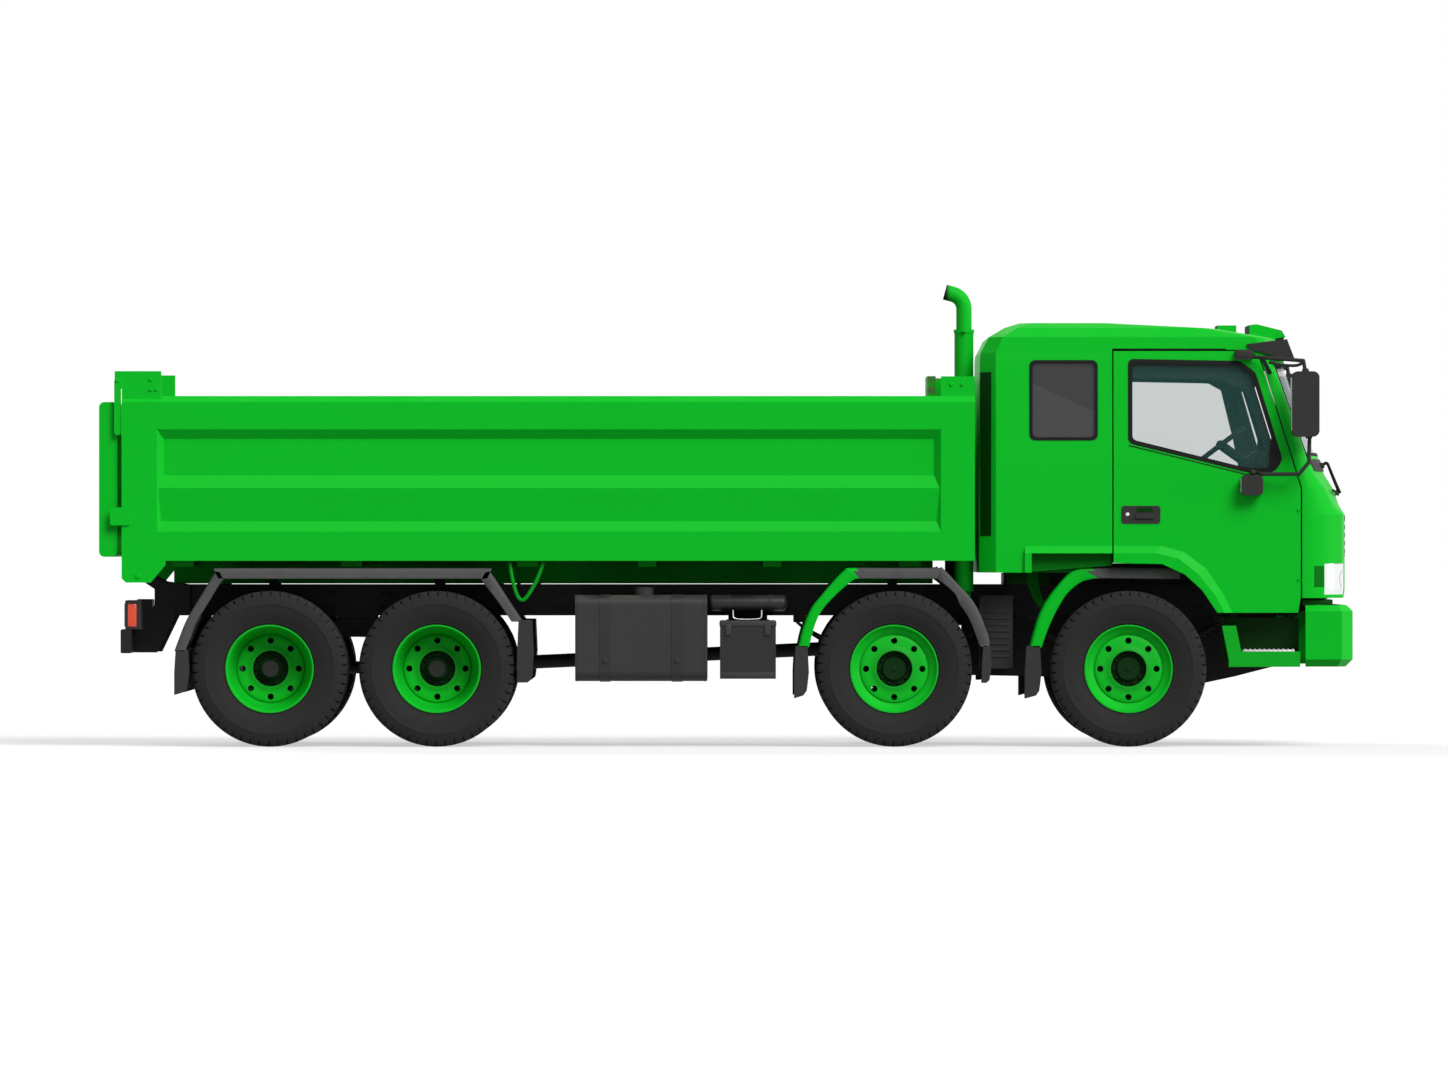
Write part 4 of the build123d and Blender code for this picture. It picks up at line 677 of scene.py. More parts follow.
for sign in (-1, 1):
    centre = Vector((CAP_X, sign * 1.030, 1.132))
    ring_count = 36
    # Radius and height of the cap's rings, its rim knurled for the hand
    cap_rings = [(0.060, -0.02, 0), (0.060, 0.0, 0), (0.073, 0.004, 1), (0.073, 0.016, 1),
        (0.066, 0.019, 0)]
    cap_rings += [(0.030, 0.020, 0), (0.028, 0.014, 0)]
    made = []
    for radius, height, knurled in cap_rings:
        ring = []
        for step in range(ring_count):
            turn = 2 * math.pi * step / ring_count
            reach = radius - (0.004 if knurled and step % 2 else 0)
            ring.append(cap_form.verts.new(centre + Vector((reach * math.cos(turn),
                reach * math.sin(turn), height))))
        made.append(ring)
    for ring, following in zip(made, made[1:]):
        for spot in range(ring_count):
            after = (spot + 1) % ring_count
            cap_form.faces.new((ring[spot], ring[after], following[after], following[spot]))
    cap_form.faces.new(made[-1])
fit_form("tank_caps", cap_form, "chassis", strap_steel, "equipment_black")

# ------------------------------------------------------------------ battery box and air intakes
# A moulded battery box with a ribbed lid and bright bail on the right side, and a slatted intake
# box on each side behind the cab, all in textured black plastic.


def moulding(name, light, dark, grain_size=0.0025, gloss=0.6, shine=0.2):
    """Moulded plastic: even colour, a fine leathery texture and rubbed patches."""
    finish = Finish(name, Specular_IOR_Level=shine)
    rubbed = finish.grain(0.18, 3.0)
    texture = finish.grain(grain_size, 2.0)
    finish.show(
        Base_Color=finish.mix(rubbed, light, dark),
        Roughness=gloss + 0.15 * rubbed,
        Normal=finish.bump(texture, 0.0005, 0.5),
    )
    return finish


box_plastic = moulding("box_plastic", paint(38, 38, 38), paint(46, 46, 45))
dress(box_plastic, "equipment_boxes")


def sided(sign, near, far):
    """The low and high y of a span on the left (1) or right (-1) side."""
    return sorted((sign * near, sign * far))


def slab(form, x, y, z, edge=0.006, steps=2):
    """A block with its edges rounded over."""
    made = bmesh.ops.create_cube(form, size=1.0)["verts"]
    for vert in made:
        spans = zip(vert.co, (x, y, z))
        vert.co = [(low + high) / 2 + side * (high - low) for side, (low, high) in spans]
    edges = {edge_line for vert in made for edge_line in vert.link_edges}
    if edge:
        bmesh.ops.bevel(form, geom=list(edges), offset=edge, segments=steps, profile=0.5, affect="EDGES")


BATTERY_X = (-0.045, 0.358)
lid_form = bmesh.new()
slab(lid_form, (BATTERY_X[0] - 0.004, BATTERY_X[1] + 0.004), (-1.156, -0.556), (0.862, 0.910), 0.014, 3)
for rib in range(5):
    x = BATTERY_X[0] + 0.055 + rib * 0.073
    slab(lid_form, (x - 0.010, x + 0.010), (-1.120, -0.600), (0.905, 0.916), 0.004)
slab(lid_form, (BATTERY_X[0] + 0.004, BATTERY_X[1] - 0.004), (-1.154, -0.560), (0.492, 0.540), 0.010)
for x in (BATTERY_X[0] + 0.06, BATTERY_X[1] - 0.06):
    slab(lid_form, (x - 0.022, x + 0.022), (-1.162, -1.148), (0.800, 0.884), 0.005)
lid_plastic = moulding("lid_plastic", paint(50, 50, 50), paint(60, 60, 59))
fit_form("battery_lid", lid_form, "chassis", lid_plastic, "equipment_black")
slat_form = bmesh.new()
INTAKE_X = (1.834, 2.071)
for sign in (-1, 1):
    face = sided(sign, 0.896, 0.906)
    for slat in range(9):
        z = 0.640 + slat * 0.046
        slab(slat_form, (INTAKE_X[0] + 0.025, INTAKE_X[1] - 0.025), face, (z, z + 0.022), 0.004)
    slab(slat_form, (INTAKE_X[0] - 0.004, INTAKE_X[1] + 0.004), sided(sign, 0.446, 0.904), (1.058, 1.094),
        0.010)
fit_form("intake_slats", slat_form, "chassis", box_plastic, "equipment_black")

bright_metal = Finish("bright_metal", Metallic=1.0)
rubbing = bright_metal.grain(0.02, 3.0, (6, 1, 1))
bright_metal.show(
    Base_Color=bright_metal.mix(rubbing, paint(226, 226, 226), paint(200, 201, 202)),
    Roughness=0.22 + 0.2 * rubbing,
)
bail = [(0.049, -1.060, 0.985), (0.049, -1.062, 0.950), (0.052, -1.064, 0.928), (0.078, -1.066, 0.920)]
bail += [(0.152, -1.067, 0.917), (0.228, -1.066, 0.920), (0.254, -1.064, 0.928), (0.256, -1.062, 0.950)]
bail += [(0.256, -1.060, 0.985)]
fit("battery_bail", bar_mesh("battery_bail", bail, 0.006), "chassis", bright_metal, "cast_metal")

# ------------------------------------------------------------------ air tanks
# Two spun steel air reservoirs a side with domed ends, strapped to plates against the rail.

AIR_TANK_X = (-0.130, 0.442)
AIR_TANK_Z = 1.036
AIR_TANK_RADIUS = 0.058
air_form = bmesh.new()
DOME = 0.034
for sign in (-1, 1):
    for y in (1.000, 0.700):
        rows = []
        for step in range(7):
            turn = math.pi / 2 * step / 6
            rows.append((AIR_TANK_X[0] + DOME * (1 - math.sin(turn)),
                AIR_TANK_RADIUS * max(0.05, math.cos(turn) ** 0.8)))
        left_end = [(x, r) for x, r in reversed(rows)]
        right_end = [(AIR_TANK_X[0] + AIR_TANK_X[1] - x, r) for x, r in rows]
        line = left_end[:-1] + [(AIR_TANK_X[0] + DOME, AIR_TANK_RADIUS),
            (AIR_TANK_X[1] - DOME, AIR_TANK_RADIUS)] + right_end[1:]
        rings = []
        for step in range(40):
            turn = 2 * math.pi * step / 40
            rings.append([air_form.verts.new((x, sign * y + r * math.sin(turn),
                AIR_TANK_Z + r * math.cos(turn))) for x, r in line])
        for ring, following in zip(rings, [*rings[1:], rings[0]]):
            for row in range(len(line) - 1):
                air_form.faces.new((ring[row], ring[row + 1], following[row + 1], following[row]))
        air_form.faces.new([ring[0] for ring in rings])
        air_form.faces.new([ring[-1] for ring in reversed(rings)])
        loops = []
        for band_radius in (AIR_TANK_RADIUS - 0.002, AIR_TANK_RADIUS + 0.004):
            bends = [step * math.pi / 18 for step in range(36)]
            ring = [(band_radius * math.cos(bend), band_radius * math.sin(bend)) for bend in bends]
            loops.append([(y + across, AIR_TANK_Z + up) for across, up in ring])
        for x in (0.020, 0.320):
            hoop(air_form, (x - 0.016, x - 0.016, x + 0.016, x + 0.016),
                (loops[0], loops[1], loops[1], loops[0]), sign)
    for x in (0.0, 0.300):
        slab(air_form, (x, x + 0.05), sided(sign, 0.43, 1.0), (AIR_TANK_Z - 0.012, AIR_TANK_Z + 0.012),
            0.003)
air_tanks = fit_form("air_reservoirs", air_form, "chassis", strap_steel, "equipment_black")
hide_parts("air_tanks")

# ------------------------------------------------------------------ exhaust stack
# The upright silencer and its bent tailpipe, sprayed in the body colour, with a clamp at the
# sleeve's top, and soot with painted shade round the open mouth.

STACK_X, STACK_Y = 1.719, -0.840
body_paint = enamel("body_paint", BODY_GREEN, paint(2, 180, 34), paint(70, 188, 84), 0.16, 0.44, 0.10, 1.1)
stack_paint = enamel("stack_paint", BODY_GREEN, paint(11, 170, 35), paint(60, 160, 70), 0.2, 0.5, 0.1, 0.3)
high_up = stack_paint.along("Z")
rearward = stack_paint.along("X")
# The tip turns near black: soot, and painted shade for the open bore.
sooty_shaded_mouth = (1 - stack_paint.rise(rearward, 1.585, 1.625)) * stack_paint.rise(high_up, 3.10, 3.14)
stack_green = Level(stack_paint, stack_paint.coat.inputs["Base Color"].links[0].from_socket)
stack_paint.show(Base_Color=stack_paint.mix(sooty_shaded_mouth, stack_green, paint(22, 24, 22)))
dress(stack_paint, "exhaust_stack")
clamp_form = bmesh.new()
for z, radius in ((3.000, 0.070), (2.300, 0.070), (1.600, 0.070)):
    loop_in, loop_out = [
        [(STACK_Y + r * math.cos(t * math.pi / 20),
            STACK_X + r * math.sin(t * math.pi / 20)) for t in range(40)]
        for r in (radius - 0.004, radius + 0.004)
    ]
    rings = []
    for height, loop in ((-0.012, loop_in), (-0.012, loop_out), (0.012, loop_out), (0.012, loop_in)):
        rings.append([clamp_form.verts.new((x, y, z + height)) for y, x in loop])
    for ring, following in zip(rings, [*rings[1:], rings[0]]):
        for spot in range(40):
            after = (spot + 1) % 40
            clamp_form.faces.new((ring[spot], ring[after], following[after], following[spot]))
    slab(clamp_form, (STACK_X - 0.012, STACK_X + 0.012), (STACK_Y - 0.098, STACK_Y - 0.066),
        (z - 0.010, z + 0.010), 0.003)
fit_form("stack_clamps", clamp_form, "chassis", stack_paint, "body_paint")

# ------------------------------------------------------------------ mudguards
# Pressed guards with a rolled outer edge over every wheel. The rear quadrants over the steered
# wheels are in the body colour, the rest is grey plastic, and rubber flaps hang from the ends.

# Outer and inner edge from the rear to the front in x and z, and how far out the guard stands
CAB_GUARD = [
    ((2.187, 0.718), (2.273, 0.718)), ((2.214, 0.820), (2.308, 0.820)), ((2.245, 0.922), (2.347, 0.914)),
    ((2.288, 1.020), (2.390, 1.000)), ((2.347, 1.109), (2.448, 1.094)), ((2.417, 1.195), (2.511, 1.156)),
    ((2.471, 1.253), (2.573, 1.195)), ((2.522, 1.285), (2.640, 1.210)), ((2.560, 1.291), (2.700, 1.214)),
    ((2.700, 1.292), (2.760, 1.214)), ((3.000, 1.292), (3.000, 1.212)), ((3.200, 1.290), (3.200, 1.210)),
    ((3.272, 1.280), (3.272, 1.210)),
]
MIDDLE_GUARD = [
    ((0.520, 0.721), (0.597, 0.721)), ((0.547, 0.837), (0.630, 0.853)), ((0.605, 0.986), (0.679, 0.969)),
    ((0.680, 1.085), (0.761, 1.068)), ((0.778, 1.200), (0.860, 1.160)), ((0.852, 1.274), (0.921, 1.206)),
    ((0.890, 1.289), (0.960, 1.211)), ((1.200, 1.289), (1.200, 1.211)), ((1.520, 1.289), (1.500, 1.211)),
    ((1.562, 1.286), (1.528, 1.205)), ((1.683, 1.156), (1.640, 1.110)), ((1.730, 1.109), (1.683, 1.027)),
    ((1.785, 1.039), (1.730, 0.960)), ((1.824, 0.968), (1.769, 0.883)), ((1.858, 0.883), (1.800, 0.800)),
    ((1.892, 0.789), (1.822, 0.740)), ((1.898, 0.722), (1.834, 0.722)),
]
TANDEM_GUARD = [
    ((-3.976, 0.690), (-3.900, 0.690)), ((-3.935, 0.800), (-3.856, 0.790)),
    ((-3.885, 0.920), (-3.815, 0.900)),
    ((-3.780, 1.095), (-3.722, 1.052)), ((-3.690, 1.246), (-3.648, 1.175)),
    ((-3.660, 1.280), (-3.620, 1.206)),
    ((-3.610, 1.287), (-3.580, 1.210)), ((-2.700, 1.287), (-2.700, 1.210)),
    ((-1.770, 1.287), (-1.800, 1.210)),
    ((-1.722, 1.280), (-1.766, 1.204)), ((-1.690, 1.246), (-1.744, 1.176)),
    ((-1.580, 1.075), (-1.640, 1.040)),
    ((-1.468, 0.902), (-1.546, 0.902)),
]
# Inner and outer y of each guard, and the x where the body colour gives way to grey
GUARDS = [
    ("cab_guard", CAB_GUARD, 0.880, 1.170, 2.640),
    ("middle_guard", MIDDLE_GUARD, 0.930, 1.240, 0.940),
    ("tandem_guard", TANDEM_GUARD, 0.590, 1.240, -9.0),
]
# The guard's rolled section: distance in from the outer y, and share of the way to the inner edge
GUARD_SECTION = [
    (1.0, 0.0), (0.024, 0.0), (0.010, 0.06), (0.002, 0.18), (0.0, 0.30), (0.0, 0.94), (0.004, 1.0),
    (0.012, 1.0), (0.014, 0.90), (0.014, 0.34), (0.018, 0.22), (0.030, 0.14), (1.0, 0.12),
]


def eased(points, parts=5):
    """A smooth run of stations through the given pairs of points."""
    ends = [points[0], *points, points[-1]]
    run = []
    for before, here, there, after in zip(ends, ends[1:], ends[2:], ends[3:]):
        for part in range(parts):
            t = part / parts
            station = []
            for edge in range(2):
                spot = []
                for axis in range(2):
                    a, b, c, d = (p[edge][axis] for p in (before, here, there, after))
                    bend = (2 * a - 5 * b + 4 * c - d) * t * t + (3 * b - a - 3 * c + d) * t * t * t
                    spot.append(0.5 * (2 * b + (c - a) * t + bend))
                station.append(tuple(spot))
            run.append(station)
    run.append(points[-1])
    return run


guard_plastic = moulding("guard_plastic", paint(74, 75, 74), paint(84, 85, 84), 0.003, 0.62, 0.15)
guard_dirt = guard_plastic.rise(guard_plastic.grain(0.12, 4.0), 0.5, 0.8)
guard_grey = Level(guard_plastic, guard_plastic.coat.inputs["Base Color"].links[0].from_socket)
guard_plastic.show(Base_Color=guard_plastic.mix(0.35 * guard_dirt, guard_grey, paint(62, 60, 56)))
for guard_name, edges, inner_y, outer_y, green_until in GUARDS:
    form = bmesh.new()
    stations = eased(edges)
    for sign in (-1, 1):
        rings = []
        for (ox, oz), (ix, iz) in stations:
            ring = []
            for inward, share in GUARD_SECTION:
                y = inner_y if inward == 1.0 else outer_y - inward
                ring.append(form.verts.new((ox + (ix - ox) * share, sign * y, oz + (iz - oz) * share)))
            rings.append(ring)
        for ring, following in zip(rings, rings[1:]):
            for row in range(len(ring)):
                after = (row + 1) % len(ring)
                face = form.faces.new((ring[row], ring[after], following[after], following[row]))
                face.material_index = 1 if face.calc_center_median().x < green_until else 0
        form.faces.new(rings[0])
        form.faces.new(list(reversed(rings[-1])))
    guard_mesh = close_form(form, guard_name, 40)
    guard_mesh.materials.append(guard_plastic.material)
    guard_mesh.materials.append(body_paint.material)
    guard = fit(guard_name + "s", guard_mesh, "chassis", guard_plastic, "guard_plastic")
    if guard_name == "cab_guard":
        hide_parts("mudguards")
# Arm's x, how far out it reaches
GUARD_ARMS = [(2.899, 1.10), (1.211, 1.16), (-3.290, 1.16), (-2.086, 1.16)]
arm_form = bmesh.new()
for x, reach in GUARD_ARMS:
    for sign in (-1, 1):
        slab(arm_form, (x - 0.025, x + 0.025), sided(sign, 0.430, reach), (1.225, 1.262), 0.008)
        slab(arm_form, (x - 0.030, x + 0.030), sided(sign, 0.430, 0.455), (0.975, 1.245), 0.006)
fit_form("guard_arms", arm_form, "chassis", cast_metal, "cast_metal")
flap_rubber = moulding("flap_rubber", paint(52, 52, 52), paint(60, 60, 59), 0.004, 0.75, 0.1)
# Flap's rear and front x, lowest and highest z, inner and outer y, and which way its lower edge slopes
FLAPS = [
    (2.155, 2.262, 0.348, 0.728, 0.880, 1.170, 1), (0.490, 0.586, 0.350, 0.728, 0.930, 1.240, 1),
    (1.842, 1.902, 0.461, 0.728, 0.930, 1.240, 0), (-3.976, -3.877, 0.374, 0.697, 0.590, 1.240, 1),
    (-1.506, -1.402, 0.464, 0.912, 0.590, 1.240, 0),
]
flap_form = bmesh.new()
for rear, front, low, high, inner, outer, sloped in FLAPS:
    for sign in (-1, 1):
        lift = 0.035 if sloped else 0.0
        bow = 0.010
        outline = [(rear, low), (front - 0.030, low + lift * 0.6), (front - 0.006, low + lift + 0.02)]
        outline += [(front, low + lift + 0.06), (front + bow, (low + high) / 2), (front, high),
            (rear + bow, high)]
        outline += [(rear, (low + high) / 2)]
        near = [flap_form.verts.new((x, sign * outer, z)) for x, z in outline]
        far = [flap_form.verts.new((x, sign * inner, z)) for x, z in outline]
        flap_form.faces.new(near)
        flap_form.faces.new(list(reversed(far)))
        for spot in range(len(outline)):
            after = (spot + 1) % len(outline)
            flap_form.faces.new((near[spot], near[after], far[after], far[spot]))
bmesh.ops.bevel(
    flap_form, geom=[e for e in flap_form.edges if e.calc_face_angle(0) > 0.9], offset=0.006, segments=2,
    affect="EDGES"
)
fit_form("mudflaps", flap_form, "chassis", flap_rubber, "guard_plastic")

# ------------------------------------------------------------------ bumper, steps and rear lamps
# A folded steel bumper and boarding steps in the body colour with bright tread strips, the black
# underrun bar, and rear lamps with orange lenses in dark housings.

dress(body_paint, "front_bumper")
step_paint = enamel("step_paint", paint(11, 170, 35), paint(10, 160, 33), paint(80, 150, 84), 0.3, 0.5,
    0.1, 0.4)
# Painted shade: the steps' parts inboard of their outer faces take a near-black green.
step_recess_shade = step_paint.rise(abs(step_paint.along("Y")), 1.205, 1.222)
step_green = Level(step_paint, step_paint.coat.inputs["Base Color"].links[0].from_socket)
step_paint.show(Base_Color=step_paint.mix(step_recess_shade, paint(2, 52, 3), step_green))
dress(step_paint, "cab_steps")
tread_form = bmesh.new()
for sign in (-1, 1):
    for row in range(4):
        edge_y = 1.234 - row * 0.066
        slab(tread_form, (3.722, 4.094), sided(sign, edge_y, edge_y - 0.046), (0.684, 0.700), 0.004)
    for bar in range(11):
        x = 3.735 + bar * 0.034
        slab(tread_form, (x, x + 0.012), sided(sign, 1.238, 1.000), (0.690, 0.706), 0.003)
    slab(tread_form, (3.715, 4.098), sided(sign, 1.2385, 1.2300), (0.660, 0.690), 0.004)
tread_metal = Finish("tread_metal", Metallic=0.6)
tread_rub = tread_metal.grain(0.03, 3.0)
tread_metal.show(
    Base_Color=tread_metal.mix(tread_rub, paint(208, 207, 207), paint(188, 188, 186)),
    Roughness=0.42 + 0.25 * tread_rub,
)
fit_form("step_treads", tread_form, "chassis", tread_metal, "cast_metal")

lamp_housing = moulding("lamp_housing", paint(40, 40, 40), paint(48, 48, 48))
dress(lamp_housing, "tail_lamps")
orange_lens = Finish("orange_lens", Roughness=0.16, Coat_Weight=0.4)
flutes = orange_lens.add("TexWave", {"bands_direction": "Z"}, {"Vector": orange_lens.spot, "Scale": 40.0})
orange_lens.show(
    Base_Color=orange_lens.mix(flutes, paint(236, 66, 8), paint(222, 54, 4)),
    Normal=orange_lens.bump(flutes, 0.0006, 0.5),
)
red_lens = Finish("red_lens", Roughness=0.16, Coat_Weight=0.4)
red_flutes = red_lens.add("TexWave", {"bands_direction": "Y"}, {"Vector": red_lens.spot, "Scale": 40.0})
red_lens.show(
    Base_Color=red_lens.mix(red_flutes, paint(190, 14, 10), paint(160, 8, 8)),
    Normal=red_lens.bump(red_flutes, 0.0006, 0.5),
)
side_lens, rear_lens = bmesh.new(), bmesh.new()
for sign in (-1, 1):
    slab(side_lens, (-4.317, -4.252), sided(sign, 1.098, 1.109), (0.864, 1.030), 0.006)
    slab(rear_lens, (-4.342, -4.331), sided(sign, 0.98, 1.09), (0.866, 1.034), 0.006)
    slab(side_lens, (-4.342, -4.331), sided(sign, 0.875, 0.97), (0.866, 1.034), 0.006)
    slab(rear_lens, (-4.342, -4.331), sided(sign, 0.775, 0.865), (0.866, 1.034), 0.006)
fit_form("orange_lenses", side_lens, "chassis", orange_lens, "lamp_orange")
fit_form("red_lenses", rear_lens, "chassis", red_lens, "lamp_orange")

# ------------------------------------------------------------------ load bed
# Welded steel sides and front wall in the body colour, and a floor in a darker green of painted shade.
# The inside is scraped by the loads, and the beams beneath are in shade and carry dust.

dress(body_paint, "tailgate")
bed_paint = enamel("bed_paint", BODY_GREEN, paint(2, 181, 34), paint(70, 188, 84), 0.15, 0.44, 0.10, 1.3)
across = abs(bed_paint.along("Y"))
bed_high = bed_paint.along("Z")
inside = (1 - bed_paint.rise(across, 1.158, 1.164)) * bed_paint.rise(bed_high, 1.36, 1.398)
drag = bed_paint.grain(0.05, 5.0, (14, 1, 1))
wide_wear = bed_paint.grain(0.5, 4.0)
scraped = bed_paint.rise(drag + 0.8 * wide_wear, 0.86, 1.02) * inside
bare = bed_paint.mix(bed_paint.grain(0.03, 4.0), paint(120, 112, 104), paint(104, 78, 58))
bed_green = Level(bed_paint, bed_paint.coat.inputs["Base Color"].links[0].from_socket)
bed_rough = Level(bed_paint, bed_paint.coat.inputs["Roughness"].links[0].from_socket)
bed_paint.show(Base_Color=bed_paint.mix(0.75 * scraped, bed_green, bare),
    Roughness=bed_rough + 0.2 * scraped)
dress(bed_paint, "bed_sides", "headboard")
# Its green is darker than the body's: painted shade for the floor's underside and beams, and for the tie
# loops.
under_paint = enamel("under_paint", paint(9, 150, 30), paint(8, 140, 28), paint(64, 110, 60), 0.3, 0.55,
    0.08, 0.8)
above_floor = under_paint.rise(under_paint.along("Z"), 1.392, 1.398)
floor_drag = under_paint.grain(0.06, 5.0, (16, 1, 1))
floor_bare = under_paint.mix(under_paint.grain(0.04, 4.0), paint(124, 116, 108), paint(110, 82, 60))
floor_worn = above_floor * under_paint.rise(floor_drag, 0.36, 0.58)
under_green = Level(under_paint, under_paint.coat.inputs["Base Color"].links[0].from_socket)
under_paint.show(Base_Color=under_paint.mix(0.9 * floor_worn, under_green, floor_bare))
dress(under_paint, "bed_floor")

# Fittings on the bed: hanger legs and latch hooks at the tailgate, bolts in the raised plates,
# and the bent loop that hangs under the side.
fitting_form = bmesh.new()
gate_form = bmesh.new()


def plate(form, outline, y, edge=0.004):
    """A flat plate cut to an XZ outline, its edges eased."""
    near = [form.verts.new((x, y[0], z)) for x, z in outline]
    far = [form.verts.new((x, y[1], z)) for x, z in outline]
    faces = [form.faces.new(near), form.faces.new(list(reversed(far)))]
    for spot in range(len(outline)):
        after = (spot + 1) % len(outline)
        faces.append(form.faces.new((near[spot], near[after], far[after], far[spot])))
    rims = {line for face in faces[:2] for line in face.edges}
    if edge:
        bmesh.ops.bevel(form, geom=list(rims), offset=edge, segments=2, affect="EDGES")


def rounded(points, radius, steps=5):
    """An outline with each corner turned on an arc."""
    run = []
    count = len(points)
    for spot in range(count):
        before, here, after = (Vector(points[(spot + k) % count]) for k in (-1, 0, 1))
        back, on = (before - here), (after - here)
        reach = min(radius, back.length * 0.49, on.length * 0.49)
        first, last = here + back.normalized() * reach, here + on.normalized() * reach
        for step in range(steps + 1):
            t = step / steps
            run.append(tuple(first * (1 - t) ** 2 + here * 2 * t * (1 - t) + last * t * t))
    return run


for sign in (-1, 1):
    leg = [(-4.408, 2.245), (-4.362, 2.245), (-4.360, 2.640), (-4.372, 2.672), (-4.396, 2.672),
        (-4.408, 2.640)]
    plate(gate_form, rounded(leg, 0.02), sided(sign, 1.2285, 1.2420))
    bolt_head(gate_form, (-4.384, sign * 1.2400, 2.640), 0.016, 0.010, sign)
    latch = rounded([(-4.438, 1.596), (-4.295, 1.596), (-4.295, 1.726), (-4.438, 1.726)], 0.012)
    plate(fitting_form, latch, sided(sign, 1.2490, 1.2640))
    for x, z in ((-4.145, 2.648), (-4.105, 2.574), (-4.145, 2.574)):
        bolt_head(fitting_form, (x, sign * 1.2280, z), 0.012, 0.010, sign)
    for x, z in ((1.700, 2.612), (1.620, 2.612)):
        bolt_head(fitting_form, (x, sign * 1.2040, z), 0.013, 0.010, sign)
    bolt_head(fitting_form, (-4.236, sign * 1.2500, 1.231), 0.020, 0.008, sign)
fit_form("gate_fittings", gate_form, "tailgate", body_paint, "body_paint")
fit_form("bed_fittings", fitting_form, "load_bed", body_paint, "body_paint")
loop_meshes = []
for sign in (-1, 1):
    bend = [(-1.560, sign * 1.190, 1.330), (-1.548, sign * 1.195, 1.230), (-1.510, sign * 1.200, 1.085)]
    bend += [(-1.470, sign * 1.200, 1.048), (-1.430, sign * 1.200, 1.085), (-1.352, sign * 1.195, 1.220)]
    bend += [(-1.318, sign * 1.190, 1.330)]
    loop_meshes.append(bar_mesh("tie_loop", bend, 0.014))
fit("bed_tie_loops", joined("bed_tie_loops", loop_meshes), "load_bed", under_paint, "body_paint")

# ------------------------------------------------------------------ hoist
# Ground and plated steel tubes that slide out of the painted barrel, with a scraper ring at the
# mouth of each.

hoist_steel = Finish("hoist_steel", Metallic=0.9)
lathe_marks = hoist_steel.grain(0.004, 3.0, (40, 40, 1))
oil_film = hoist_steel.grain(0.09, 3.0)
hoist_steel.show(
    Base_Color=hoist_steel.mix(oil_film, paint(182, 184, 186), paint(150, 150, 148)),
    Roughness=0.2 + 0.14 * lathe_marks + 0.12 * oil_film,
    Normal=hoist_steel.bump(lathe_marks, 0.0002, 0.3),
)
dress(hoist_steel, "hoist_stage_1", "hoist_stage_2", "hoist_stage_3")
hoist_enamel = enamel("hoist_enamel", paint(30, 31, 31), paint(38, 38, 37), paint(84, 80, 72), 0.3, 0.4,
    0.3, 0.3)
dress(hoist_enamel, "hoist_barrel")

# ------------------------------------------------------------------ cab body
# Pressed and spot-welded steel panels in the body colour. The inner faces carry dark moulded
# lining, and the edges round the glass are black.

CAB_MIDDLE = (3.0, 0.0, 2.0)
cab_paint = enamel("cab_paint", BODY_GREEN, paint(2, 181, 34), paint(70, 188, 84), 0.16, 0.42, 0.10, 1.1)
cab_facing = cab_paint.add("TexCoord", output="Normal")
from_middle = cab_paint.add("VectorMath", {"operation": "SUBTRACT"}, {0: cab_paint.spot, 1: CAB_MIDDLE})
outward = cab_paint.add("VectorMath", {"operation": "DOT_PRODUCT"}, {0: cab_facing, 1: from_middle},
    "Value")
lined = (1 - cab_paint.rise(outward, -0.10, -0.02)) * cab_paint.rise(cab_paint.along("Z"), 1.39, 1.41)
lining_pores = cab_paint.grain(0.003)
lining_colour = cab_paint.mix(cab_paint.grain(0.3, 3.0), paint(40, 44, 42), paint(48, 52, 50))
cab_green = Level(cab_paint, cab_paint.coat.inputs["Base Color"].links[0].from_socket)
cab_rough = Level(cab_paint, cab_paint.coat.inputs["Roughness"].links[0].from_socket)
cab_paint.show(
    Base_Color=cab_paint.mix(lined, cab_green, lining_colour),
    Roughness=cab_rough + 0.3 * lined + 0.05 * lining_pores * lined,
)
dress(cab_paint, "cab_front", "cab_roof", "cab_rear_wall", "cab_sides", "left_door", "right_door")

# Half width of the cab's side at each height
SIDE_HALF = [(0.900, 1.240), (1.966, 1.240), (2.076, 1.238), (2.786, 1.208), (2.841, 1.203), (2.952, 1.196)]
# Height, x and y where the front corner ends, foremost x
FRONT_ROWS = [
    (1.073, 4.441, 1.047, 4.493), (1.137, 4.448, 1.050, 4.500), (1.675, 4.448, 1.050, 4.500),
    (1.745, 4.385, 1.060, 4.460), (1.866, 4.325, 1.090, 4.420), (1.966, 4.240, 1.130, 4.357),
    (2.076, 4.188, 1.140, 4.318), (2.786, 3.935, 1.130, 4.062), (2.841, 3.915, 1.125, 4.043),
]


def between(table, key):
    """The row of a table at a height, worked out between its neighbours."""
    for low, high in zip(table, table[1:]):
        if key <= high[0]:
            share = max(0.0, (key - low[0]) / (high[0] - low[0]))
            return [a + (b - a) * share for a, b in zip(low, high)]
    return list(table[-1])


def side_at(z):
    return between(SIDE_HALF, z)[1]


def front_at(y, z):
    """How far forward the bowed front stands at a spot across and up."""
    height, end_x, end_y, foremost = between(FRONT_ROWS, z)
    rise = foremost - end_x
    bow = (rise * rise + end_y * end_y) / (2 * rise)
    return foremost - bow + math.sqrt(bow * bow - y * y)


